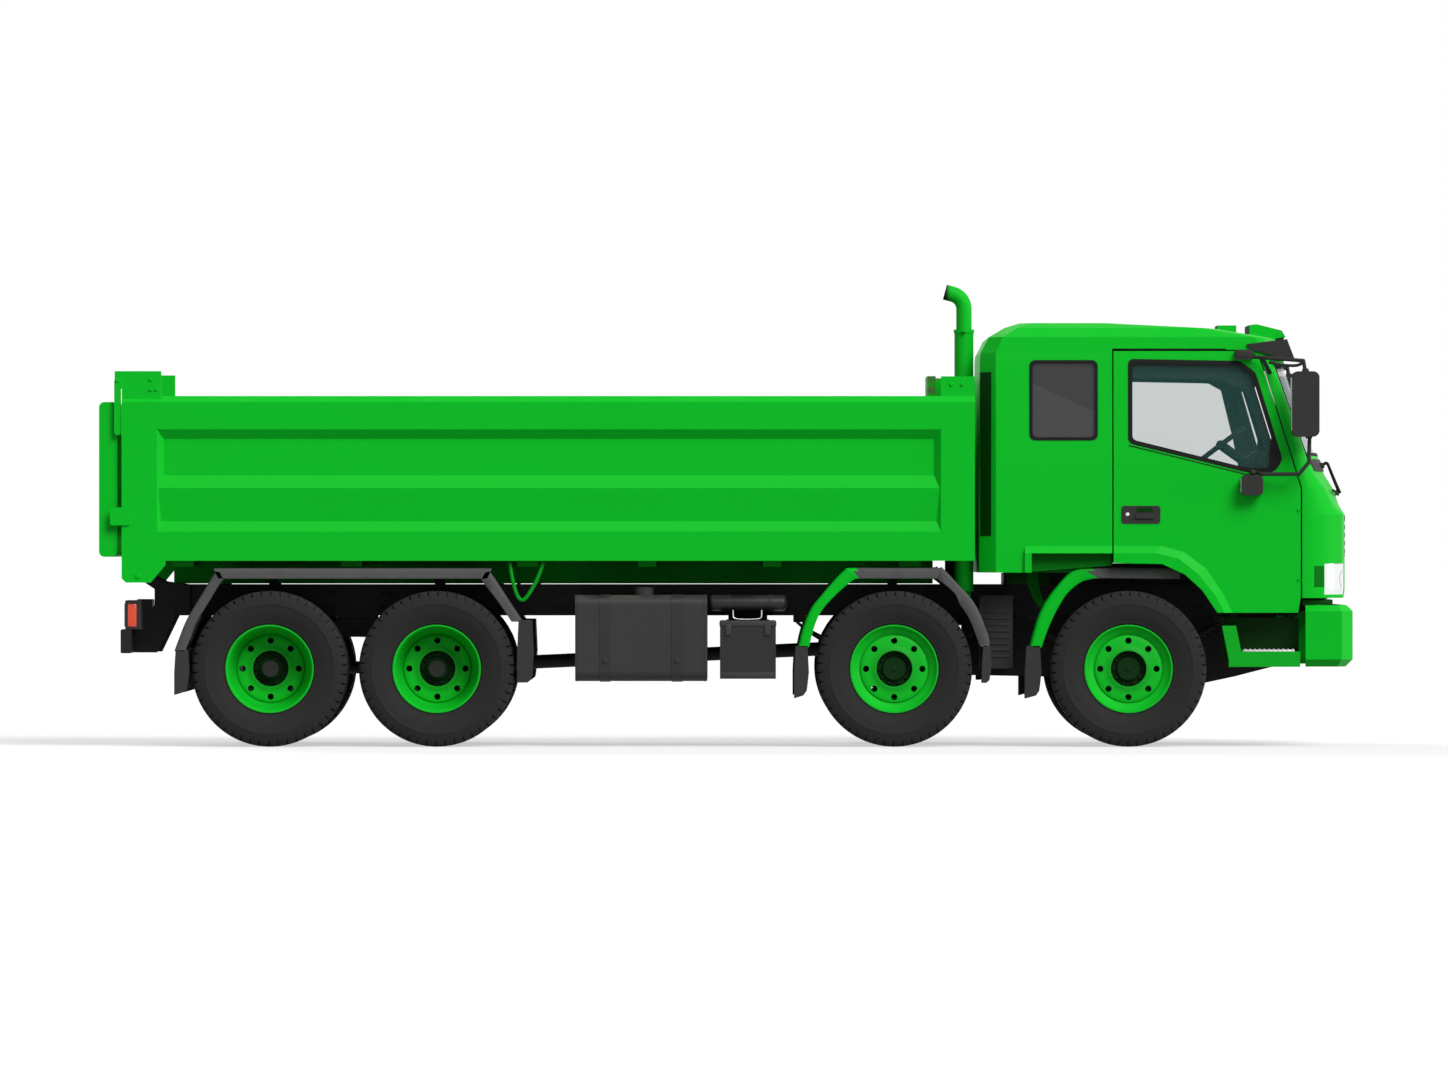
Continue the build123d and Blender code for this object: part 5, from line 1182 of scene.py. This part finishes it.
def inset(points, depth):
    """A closed outline moved inwards."""
    count = len(points)
    area = sum(points[k - 1][0] * points[k][1] - points[k][0] * points[k - 1][1] for k in range(count))
    turn = 1 if area > 0 else -1
    moved = []
    for spot in range(count):
        before, here, after = (Vector(points[(spot + k) % count]) for k in (-1, 0, 1))
        into, out = (here - before).normalized(), (after - here).normalized()
        first, second = Vector((-into.y, into.x)) * turn, Vector((-out.y, out.x)) * turn
        halfway = (first + second).normalized()
        moved.append(tuple(here + halfway * depth / max(0.3, halfway.dot(first))))
    return moved


def side_ring(form, outer, inner, sign, proud, depth):
    """A flat ring of rubber or trim that follows the leaning side between two outlines."""
    rings = []
    for (ox, oz), (ix, iz) in zip(outer, inner):
        spots = ((ox, side_at(oz) - depth, oz), (ox, side_at(oz) + proud, oz))
        spots += ((ix, side_at(iz) + proud, iz), (ix, side_at(iz) - depth, iz))
        rings.append([form.verts.new((x, sign * y, z)) for x, y, z in spots])
    for ring, following in zip(rings, [*rings[1:], rings[0]]):
        for row in range(4):
            after = (row + 1) % 4
            form.faces.new((ring[row], ring[after], following[after], following[row]))


def side_patch(form, outline, sign, proud, depth):
    """A thin plate on the leaning side."""
    near = [form.verts.new((x, sign * (side_at(z) + proud), z)) for x, z in outline]
    far = [form.verts.new((x, sign * (side_at(z) - depth), z)) for x, z in outline]
    form.faces.new(near)
    form.faces.new(list(reversed(far)))
    for spot in range(len(outline)):
        after = (spot + 1) % len(outline)
        form.faces.new((near[spot], near[after], far[after], far[spot]))


def front_bar(form, y_span, z_span, proud, depth, steps=24):
    """A bar across the bowed front."""
    rings = []
    for step in range(steps + 1):
        y = y_span[0] + (y_span[1] - y_span[0]) * step / steps
        ring = []
        for z, out in ((z_span[0], -depth), (z_span[0], proud), (z_span[1], proud), (z_span[1], -depth)):
            ring.append(form.verts.new((front_at(y, z) + out, y, z)))
        rings.append(ring)
    for ring, following in zip(rings, rings[1:]):
        for row in range(4):
            after = (row + 1) % 4
            form.faces.new((ring[row], ring[after], following[after], following[row]))
    form.faces.new(rings[0])
    form.faces.new(list(reversed(rings[-1])))


# Sunk parts of the panels are in shade: the rear corner's bevel, the recess over the arch, the
# pull behind each handle and the side marker beside the lamp.
shade_green = enamel("shade_green", paint(3, 56, 8), paint(3, 46, 5), paint(30, 74, 30), 0.2, 0.5, 0.06,
    0.4)
panel_shade = bmesh.new()
QUARTER_RECESS = [(2.165, 1.258), (2.776, 1.306), (2.776, 1.398), (2.199, 1.398)]
for sign in (-1, 1):
    for z_low, z_high in ((1.519, 2.080), (2.080, 2.700)):
        corners = []
        for x, z in ((1.832, z_low), (1.910, z_low), (1.910, z_high), (1.832, z_high)):
            share = (x - 1.825) / (1.942 - 1.825)
            corners.append(panel_shade.verts.new((x - 0.0015,
                sign * (side_at(z) - 0.110 * (1 - share) + 0.0025), z)))
        panel_shade.faces.new(corners)
CORNER_START, CORNER_BEND = 4.170, 0.298
mid_form = bmesh.new()
for sign in (-1, 1):
    plate(mid_form, QUARTER_RECESS, sided(sign, 1.172, 1.180), 0.001)
    columns = []
    for step in range(6):
        x = 4.236 + 0.071 * step / 5
        y = 1.2415 - CORNER_BEND + math.sqrt(CORNER_BEND**2 - (x - CORNER_START) ** 2)
        columns.append([mid_form.verts.new((x, sign * y, z)) for z in (1.152, 1.303)])
    for (low, high), (low_on, high_on) in zip(columns, columns[1:]):
        mid_form.faces.new((low, low_on, high_on, high))
# A mid green of painted shade for the recess over the arch and the side marker beside the lamp.
shade_mid_green = enamel("shade_mid_green", paint(5, 112, 18), paint(4, 100, 15), paint(40, 110, 46), 0.2, 0.5, 0.06,
    0.4)
fit_form("arch_recess", mid_form, "cab", shade_mid_green, "body_paint")
fit_form("panel_shade", panel_shade, "cab", shade_green, "body_paint")

# Door handles: a black moulded pull in a black cup, with a bright key barrel beside it.
trim_plastic = moulding("trim_plastic", paint(38, 38, 38), paint(45, 45, 44), 0.003, 0.6, 0.2)
PULL_X, PULL_Z = (2.845, 3.127), (1.607, 1.737)
for side, sign in SIDES.items():
    cup_form, key_form, pocket_form = bmesh.new(), bmesh.new(), bmesh.new()
    cup = [(PULL_X[0], PULL_Z[0]), (PULL_X[1], PULL_Z[0]), (PULL_X[1], PULL_Z[1]), (PULL_X[0], PULL_Z[1])]
    side_patch(cup_form, rounded(cup, 0.026), sign, 0.0035, 0.004)
    slab(cup_form, (2.945, 3.080), sided(sign, 1.2405, 1.2560), (1.640, 1.676), 0.007, 3)
    # The pocket above the pull is a thin plate of painted shade.
    pocket = [(2.948, 1.690), (3.078, 1.690), (3.062, 1.726), (2.964, 1.726)]
    side_patch(pocket_form, rounded(pocket, 0.010), sign, 0.0045, 0.001)
    turned(key_form, [(sign * -0.004, 0.013), (sign * 0.006, 0.013), (sign * 0.008, 0.010)], 20, False,
           (2.890, sign * 1.240, 1.676))
    body = side + "_door"
    fit_form("handle_" + side, cup_form, body, trim_plastic, "black_plastic")
    fit_form("handle_pocket_" + side, pocket_form, body, shade_green, "body_paint")
    fit_form("key_barrel_" + side, key_form, body, bright_metal, "cast_metal")

# ------------------------------------------------------------------ glass and its rubber
# Bonded and sliding safety glass with a faint green tint. Moulded black rubber runs round every
# pane, a round bead closes the screen's sides, and the rear side panes are blacked out.

clear_glass = Finish("clear_glass", Roughness=0.04, Specular_IOR_Level=0.5)
film = clear_glass.grain(0.25, 3.0)
pane_x, pane_z = clear_glass.along("X"), clear_glass.along("Z")
blackout = 1 - clear_glass.rise(pane_x, 2.75, 2.85)
# A painted reflection: the blacked-out panes are lighter below a slanting line.
painted_reflection = 1 - clear_glass.rise(pane_z + 0.459 * pane_x, 3.628, 3.634)
black_pane_and_reflection = clear_glass.mix(painted_reflection, paint(40, 40, 40), paint(54, 54, 54))
edge_on = clear_glass.add("Fresnel", None, {"IOR": 1.45})
tint = clear_glass.mix(film, (0.03, 0.19, 0.16, 1), (0.04, 0.21, 0.18, 1))
clear_glass.show(
    Base_Color=clear_glass.mix(blackout, tint, black_pane_and_reflection),
    Alpha=0.125 + 0.86 * blackout + 0.25 * edge_on * (1 - blackout),
    Roughness=0.04 + 0.05 * film,
)
dress(clear_glass, "cab_glass", "left_door_glass", "right_door_glass")
seal_rubber = moulding("seal_rubber", paint(26, 26, 26), paint(32, 32, 32), 0.003, 0.7, 0.1)
DOOR_PANE = [(2.896, 2.794), (3.701, 2.779), (3.812, 2.698), (4.006, 2.070), (3.950, 1.981), (3.742, 1.981)]
DOOR_PANE += [(2.896, 2.190)]
QUARTER_PANE = [(2.185, 2.209), (2.675, 2.209), (2.675, 2.785), (2.185, 2.785)]
for side, sign in SIDES.items():
    door_seal = bmesh.new()
    outer, inner = rounded(inset(DOOR_PANE, -0.002), 0.045), rounded(inset(DOOR_PANE, 0.030), 0.034)
    side_ring(door_seal, outer, inner, sign, 0.003, 0.017)
    corner = [(3.905, 1.995), (3.945, 1.985), (4.000, 2.066), (3.930, 2.290)]
    side_patch(door_seal, corner, sign, 0.002, 0.015)
    side_patch(door_seal, [(2.900, 2.168), (3.755, 1.957), (3.757, 1.964), (2.902, 2.175)], sign, 0.003,
        0.003)
    fit_form("door_seal_" + side, door_seal, side + "_door", seal_rubber, "black_plastic")
pane_seal = bmesh.new()
for sign in (-1, 1):
    outer, inner = rounded(inset(QUARTER_PANE, -0.002), 0.05), rounded(inset(QUARTER_PANE, 0.022), 0.04)
    side_ring(pane_seal, outer, inner, sign, 0.003, 0.017)
SCREEN = [(-1.135, 2.100), (1.135, 2.100), (1.120, 2.765), (-1.120, 2.765)]
screen_steps = 20
for (ay, az), (by, bz) in zip(SCREEN, [*SCREEN[1:], SCREEN[0]]):
    run = []
    for step in range(screen_steps + 1):
        y, z = ay + (by - ay) * step / screen_steps, az + (bz - az) * step / screen_steps
        toward = (0 - y) * 0.022, (2.43 - z) * 0.066
        for dy, dz, out in ((0, 0, 0.003), (toward[0], toward[1], 0.003), (toward[0], toward[1], -0.012)):
            run.append(pane_seal.verts.new((front_at(y + dy, z + dz) + out, y + dy, z + dz)))
    for step in range(screen_steps):
        for row in range(2):
            a, b = step * 3 + row, step * 3 + row + 1
            pane_seal.faces.new((run[a], run[b], run[b + 3], run[a + 3]))
screen_edges = []
for sign in (-1, 1):
    line = [(3.924, sign * 1.130, 2.800), (4.060, sign * 1.136, 2.430), (4.186, sign * 1.139, 2.080)]
    line.append((4.210, sign * 1.138, 2.020))
    screen_edges.append(bar_mesh("screen_edge", line, 0.007))
seals = joined("pane_seals", [close_form(pane_seal, "pane_seals"), *screen_edges])
fit("pane_seals", seals, "cab", seal_rubber, "black_plastic")

# ------------------------------------------------------------------ front panel
# Moulded grille bars between the lamps, a black cowl under the screen and two wipers with
# pressed steel arms and rubber blades.

grille_form = bmesh.new()
for row in range(5):
    z = 1.395 + row * 0.058
    front_bar(grille_form, (-0.700, 0.700), (z, z + 0.030), 0.003, 0.004)
front_bar(grille_form, (-0.730, 0.730), (1.372, 1.384), 0.003, 0.004)
front_bar(grille_form, (-0.730, 0.730), (1.656, 1.668), 0.003, 0.004)
front_bar(grille_form, (-1.080, 1.080), (1.990, 2.075), 0.008, 0.004, 32)
for y in (-0.560, 0.080):
    slab(grille_form, (front_at(y, 2.03), front_at(y, 2.03) + 0.035), (y - 0.022, y + 0.022),
        (2.012, 2.052), 0.010)
fit_form("front_trim", grille_form, "cab", trim_plastic, "black_plastic")
wiper_meshes = []
for foot_y in (-0.560, 0.080):
    arm = [(front_at(foot_y, 2.032) + 0.028, foot_y, 2.040),
        (front_at(foot_y, 2.03) + 0.052, foot_y, 2.062)]
    arm += [(front_at(foot_y, 2.00) + 0.060, foot_y - 0.02, 2.010),
        (front_at(foot_y, 1.92) + 0.052, foot_y - 0.06, 1.920)]
    arm += [(front_at(foot_y, 1.83) + 0.040, foot_y - 0.10, 1.832)]
    wiper_meshes.append(bar_mesh("wiper_arm", arm, 0.010))
    blade = []
    for step in range(9):
        y, z = foot_y - 0.330 + 0.48 * step / 8, 1.850 - 0.030 * step / 8
        blade.append((front_at(y, z) + 0.022, y, z))
    wiper_meshes.append(bar_mesh("wiper_blade", blade, 0.009))
fit("wipers", joined("wipers", wiper_meshes), "cab", seal_rubber, "black_plastic")

# ------------------------------------------------------------------ head lamps
# Clear moulded lenses that wrap the corners, fluted inside, with darker rings painted on them for round
# reflectors.

lamp_lens = Finish("lamp_lens", Roughness=0.14, Coat_Weight=0.6)
lens_flutes = lamp_lens.add("TexWave", {"bands_direction": "Y"}, {"Vector": lamp_lens.spot, "Scale": 30.0})
lamp_rings = []
for y in (0.85, 1.02):
    far = lamp_lens.add("VectorMath", {"operation": "DISTANCE"}, {
        0: lamp_lens.add("CombineXYZ", None, {"Y": abs(lamp_lens.along("Y")), "Z": lamp_lens.along("Z")}),
        1: (0, y, 1.21),
    }, "Value")
    lamp_rings.append(lamp_lens.rise(far, 0.060, 0.066) * (1 - lamp_lens.rise(far, 0.070, 0.076)))
lens_white = lamp_lens.mix(lens_flutes, paint(230, 232, 232), paint(222, 225, 225))
lamp_lens.show(
    Base_Color=lamp_lens.mix(0.7 * (lamp_rings[0] + lamp_rings[1]), lens_white, paint(120, 126, 128)),
    Normal=lamp_lens.bump(lens_flutes, 0.0008, 0.4),
)
dress(lamp_lens, "headlamps")

# ------------------------------------------------------------------ sun visor and mirrors
# Black moulded housings on bent tube arms. Each tall mirror has a flat silvered pane and the
# upper arm is doubled. The visor's mount fills the step under the roof's brow.

dress(trim_plastic, "sun_visor", "left_mirrors", "right_mirrors")
mount_form = bmesh.new()
plate(mount_form, [(3.800, 2.906), (4.040, 2.936), (4.056, 2.963), (3.800, 2.925)], (-0.440, 0.440), 0.002)
fit_form("visor_mount", mount_form, "cab", trim_plastic, "black_plastic")
mirror_silver = Finish("mirror_silver", Metallic=1.0)
haze = mirror_silver.grain(0.06, 3.0)
mirror_silver.show(
    Base_Color=mirror_silver.mix(haze, paint(214, 218, 220), paint(198, 203, 206)),
    Roughness=0.05 + 0.08 * haze,
)
slot_form = bmesh.new()
for sign in (-1, 1):
    pill = [(3.850, 2.800), (3.880, 2.800), (3.935, 2.690), (3.905, 2.680)]
    near = [(x, 1.2045 + 0.042 * (2.786 - z) - 2.2 * max(0.0, x - 3.869 - 0.31 * (2.786 - z)) ** 2,
        z) for x, z in rounded(pill, 0.014)]
    ring = [[slot_form.verts.new((x, sign * (y + out), z)) for x, y, z in near] for out in (0.006, -0.02)]
    slot_form.faces.new(ring[0])
    slot_form.faces.new(list(reversed(ring[1])))
    for spot in range(len(near)):
        after = (spot + 1) % len(near)
        slot_form.faces.new((ring[0][spot], ring[0][after], ring[1][after], ring[1][spot]))
fit_form("pillar_slots", slot_form, "cab", seal_rubber, "black_plastic")
for side, sign in SIDES.items():
    pane_form = bmesh.new()
    slab(pane_form, (4.0610, 4.0660), sided(sign, 1.312, 1.468), (2.275, 2.660), 0.002)
    slab(pane_form, (3.7020, 3.7060), sided(sign, 1.268, 1.347), (1.835, 1.935), 0.0015)
    body = side + "_door"
    fit_form("mirror_panes_" + side, pane_form, body, mirror_silver, "black_plastic")
    loop = [(3.905, 1.322, 2.770), (3.960, 1.340, 2.752), (4.080, 1.372, 2.742), (4.130, 1.385, 2.752)]
    loop += [(4.150, 1.390, 2.772)]
    second = bar_mesh("second_arm", [(x, sign * y, z) for x, y, z in loop], 0.011)
    cuffs = bmesh.new()
    for x, y, z in ((4.190, 1.385, 2.238), (4.165, 1.390, 2.706)):
        slab(cuffs, (x - 0.024, x + 0.024), sided(sign, y - 0.024, y + 0.024), (z - 0.018, z + 0.018),
            0.008)
    slab(cuffs, (3.663, 3.798), sided(sign, 1.196, 1.264), (2.794, 2.860), 0.014, 3)
    pieces = joined("mirror_arms_" + side, [second, close_form(cuffs, "cuffs")])
    fit("mirror_arms_" + side, pieces, body, trim_plastic, "black_plastic")

# ------------------------------------------------------------------ cab interior
# Moulded dash, lining and rubber mat, and a dial hood over the steering column.

dash_plastic = moulding("dash_plastic", paint(30, 33, 32), paint(38, 41, 40), 0.003, 0.65, 0.15)
dress(dash_plastic, "dashboard")
floor_mat = moulding("floor_mat", paint(28, 29, 29), paint(36, 36, 36), 0.006, 0.8, 0.08)
# Painted shade: the sill's outer faces below the doors take a dark green.
painted_sill_shade = floor_mat.rise(abs(floor_mat.along("Y")), 1.09, 1.10)
painted_sill_shade = painted_sill_shade * (1 - floor_mat.rise(floor_mat.along("Z"), 1.39, 1.40))
mat_black = Level(floor_mat, floor_mat.coat.inputs["Base Color"].links[0].from_socket)
floor_mat.show(Base_Color=floor_mat.mix(painted_sill_shade, mat_black, paint(5, 60, 12)))
dress(floor_mat, "cab_floor")
hood_form = bmesh.new()
hood = [(3.763, 2.059), (3.902, 2.155), (4.003, 2.117), (4.035, 2.050), (4.035, 1.991), (3.800, 1.975)]
plate(hood_form, rounded(hood, 0.02), (0.455, 0.785), 0.012)
for spoke_y in (0.52, 0.72):
    slab(hood_form, (3.768, 3.776), (spoke_y - 0.05, spoke_y + 0.05), (1.995, 2.050), 0.004)
header = [(1.990, 2.850), (1.990, 2.676), (3.560, 2.650), (3.640, 2.600), (3.800, 2.560), (3.850, 2.700),
    (3.790, 2.830)]
for sign in (-1, 1):
    plate(hood_form, header, sided(sign, 1.112, 1.146), 0.004)
pillar_cover = [(3.640, 2.640), (3.740, 2.233), (3.786, 2.000), (3.960, 2.000), (3.925, 2.161),
    (3.800, 2.600)]
plate(hood_form, pillar_cover, (1.122, 1.142), 0.006)
fit_form("dial_hood", hood_form, "cab", dash_plastic, "black_plastic")

# ------------------------------------------------------------------ seats
# Two driver's seats in woven grey cloth over foam, on painted steel pedestals: a cushion, a
# backrest and a headrest each, puffed by a cloth simulation and then seamed and piped.

seat_cloth = Finish("seat_cloth", Roughness=0.9, Specular_IOR_Level=0.1)
warp = seat_cloth.add("TexWave", {"bands_direction": "Y"}, {"Vector": seat_cloth.spot, "Scale": 160.0})
weft = seat_cloth.add("TexWave", {"bands_direction": "X"}, {"Vector": seat_cloth.spot, "Scale": 160.0})
sat_on = seat_cloth.grain(0.12, 3.0)
seat_cloth.show(
    Base_Color=seat_cloth.mix(0.5 * warp + 0.4 * sat_on, paint(44, 47, 50), paint(62, 65, 68)),
    Roughness=0.82 + 0.15 * sat_on,
    Normal=seat_cloth.bump(warp * weft, 0.0006, 0.6),
)
SEAT_Y = 0.620
# Each pad's name, its middle in x and z, its length and thickness, its lean in degrees, its half
# width, and the shares of its length where a seam crosses it
PADS = [
    ("cushion", (3.140, 1.796), (0.462, 0.112), 0.0, 0.235, (-0.18, 0.22)),
    ("backrest", (2.875, 2.090), (0.590, 0.104), 101.0, 0.235, (-0.2, 0.1, 0.34)),
    ("headrest", (2.788, 2.475), (0.165, 0.082), 95.0, 0.115, (0.0,)),
]
PUFF_CAP = 0.012
PUFF_GRAIN = 0.007
PUFF_PRESSURE = 4.0
PUFF_FRAMES = 20


def pad_blank(length, thick, half):
    """A rounded slab of cloth, cut small because it swells."""
    form = bmesh.new()
    slab(form, (-length / 2, length / 2), (-half, half), (-thick / 2, thick / 2), min(0.035, thick * 0.4),
        4)
    return close_form(form, "pad_blank", 80)


def puffed(mesh):
    """The mesh remeshed and blown up by a short cloth simulation, with how far it may move held."""
    pad = bpy.data.objects.new("pad", mesh)
    bpy.context.scene.collection.objects.link(pad)
    skin = pad.modifiers.new("skin", "REMESH")
    skin.mode = "VOXEL"
    skin.voxel_size = PUFF_GRAIN
    bpy.context.view_layer.update()
    meshed = bpy.data.meshes.new_from_object(pad.evaluated_get(bpy.context.evaluated_depsgraph_get()))
    pad.modifiers.clear()
    pad.data = meshed
    start = [vert.co.copy() for vert in meshed.vertices]
    cloth = pad.modifiers.new("cloth", "CLOTH")
    cloth.settings.quality = 4
    cloth.settings.use_pressure = True
    cloth.settings.uniform_pressure_force = PUFF_PRESSURE
    cloth.settings.effector_weights.gravity = 0.0
    cloth.point_cache.frame_end = PUFF_FRAMES
    for step in range(1, PUFF_FRAMES + 1):
        bpy.context.scene.frame_set(step)
    blown = bpy.data.meshes.new_from_object(pad.evaluated_get(bpy.context.evaluated_depsgraph_get()))
    for vert, before, after in zip(meshed.vertices, start, blown.vertices):
        move = after.co - before
        if move.length > PUFF_CAP:
            move = move.normalized() * PUFF_CAP
        vert.co = before + move
    bpy.context.scene.frame_set(1)
    bpy.data.objects.remove(pad)
    return meshed


def seamed(mesh, length, thick, half, seams):
    """Sews the pad: it crowns between channels, and thread draws each channel in."""
    for vert in mesh.vertices:
        across = 1 - min(1.0, abs(vert.co.y) / half) ** 3
        along = 1 - min(1.0, 2 * abs(vert.co.x) / length) ** 3
        crown = 0.007 * across * along * (1 if vert.co.z > 0 else 0.4)
        draw = 0.0
        for share in seams:
            draw += 0.009 * math.exp(-(((vert.co.x - share * length) / 0.010) ** 2))
        for edge_y in (-0.74 * half, 0.74 * half):
            draw += 0.008 * math.exp(-(((vert.co.y - edge_y) / 0.010) ** 2))
        if vert.co.z > 0:
            vert.co.z += crown - draw * min(1.0, vert.co.z / (thick * 0.3))
        else:
            vert.co.z -= crown * 0.3
    mesh.shade_smooth()


seat_meshes = {}
for pad_name, place, (length, thick), lean, half, seams in PADS:
    pad_mesh = puffed(pad_blank(length, thick, half))
    seamed(pad_mesh, length, thick, half, seams)
    piping = []
    corners = [(-length / 2, -half), (length / 2, -half), (length / 2, half), (-length / 2, half)]
    for x, y in rounded(inset(corners, 0.006), 0.04, 4):
        piping.append((x, y, thick * 0.30))
    cord_mesh = bar_mesh("piping", [*piping, piping[0]], 0.0035, False, 2)
    whole = joined("pad_" + pad_name, [pad_mesh, cord_mesh])
    whole.transform(Matrix.Rotation(math.radians(-lean), 4, "Y"))
    seat_meshes[pad_name] = (whole, place)
pedestal_form = bmesh.new()
for side, sign in SIDES.items():
    middle = sign * SEAT_Y
    for pad_name, (mesh, (x, z)) in seat_meshes.items():
        pad = fit(f"seat_{pad_name}_{side}", mesh.copy(), "cab", seat_cloth, "seat_fabric", (x, middle, z))
        if pad_name == "cushion" and sign > 0:
            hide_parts("seats")
    slab(pedestal_form, (2.960, 3.320), (middle - 0.190, middle + 0.190), (1.401, 1.460), 0.010)
    slab(pedestal_form, (3.010, 3.270), (middle - 0.140, middle + 0.140), (1.455, 1.660), 0.030, 3)
    slab(pedestal_form, (2.950, 3.330), (middle - 0.200, middle + 0.200), (1.655, 1.735), 0.016)
    for stem in (-0.06, 0.06):
        turned(pedestal_form, [(0, 0.007), (0.014, 0.007)], 10, False, (2.800, middle + stem, 2.400))
        slab(pedestal_form, (2.796, 2.808), (middle + stem - 0.006, middle + stem + 0.006),
            (2.360, 2.420), 0.003)
    slab(pedestal_form, (2.915, 2.950), (middle - 0.10, middle + 0.10), (1.700, 1.860), 0.008)
fit_form("seat_pedestals", pedestal_form, "cab", cast_metal, "equipment_black")

# ------------------------------------------------------------------ underbody
# Black pressed shields beside the engine and the front springs, painted brackets that carry the
# cab, and the covers between the bumper, the steps and the cab.

shield_form = bmesh.new()
REAR_SHIELD = [(1.720, 0.510), (2.330, 0.498), (2.330, 1.168), (2.190, 1.168), (1.720, 1.168)]
FRONT_SHIELD = [(2.330, 0.498), (2.800, 0.480), (2.820, 0.640), (2.980, 0.640), (3.000, 0.470),
    (3.450, 0.446)]
FRONT_SHIELD += [(3.700, 0.500), (3.995, 0.576), (4.080, 0.640), (4.080, 1.030), (3.940, 1.300),
    (2.330, 1.300)]
for sign in (-1, 1):
    for outline in (REAR_SHIELD, FRONT_SHIELD):
        plate(shield_form, outline, sided(sign, 0.338, 0.346), 0.002)
fit_form("engine_shields", shield_form, "chassis", chassis_paint, "chassis_paint")
cover_form = bmesh.new()
for sign in (-1, 1):
    slab(cover_form, (4.150, 4.370), sided(sign, 0.500, 1.190), (1.024, 1.062), 0.006)
    slab(cover_form, (2.035, 2.340), sided(sign, 0.460, 0.800), (1.168, 1.262), 0.010)
bracket_form = bmesh.new()
for sign in (-1, 1):
    bend = [(2.172, 1.250), (2.180, 1.160), (2.215, 1.075), (2.262, 1.000), (2.310, 1.010), (2.300, 1.060)]
    bend += [(2.262, 1.130), (2.250, 1.200), (2.262, 1.258)]
    plate(bracket_form, bend, sided(sign, 0.800, 0.840), 0.006)
# The brackets take the mid green of painted shade.
fit_form("cab_brackets", bracket_form, "chassis", shade_mid_green, "under_paint")
# The covers' dark green is painted shade under the cab.
shade_cover_paint = enamel("shade_cover_paint", paint(4, 64, 8), paint(3, 54, 6), paint(34, 80, 34), 0.25, 0.5, 0.08,
    0.4)
fit_form("underbody_covers", cover_form, "chassis", shade_cover_paint, "under_paint")
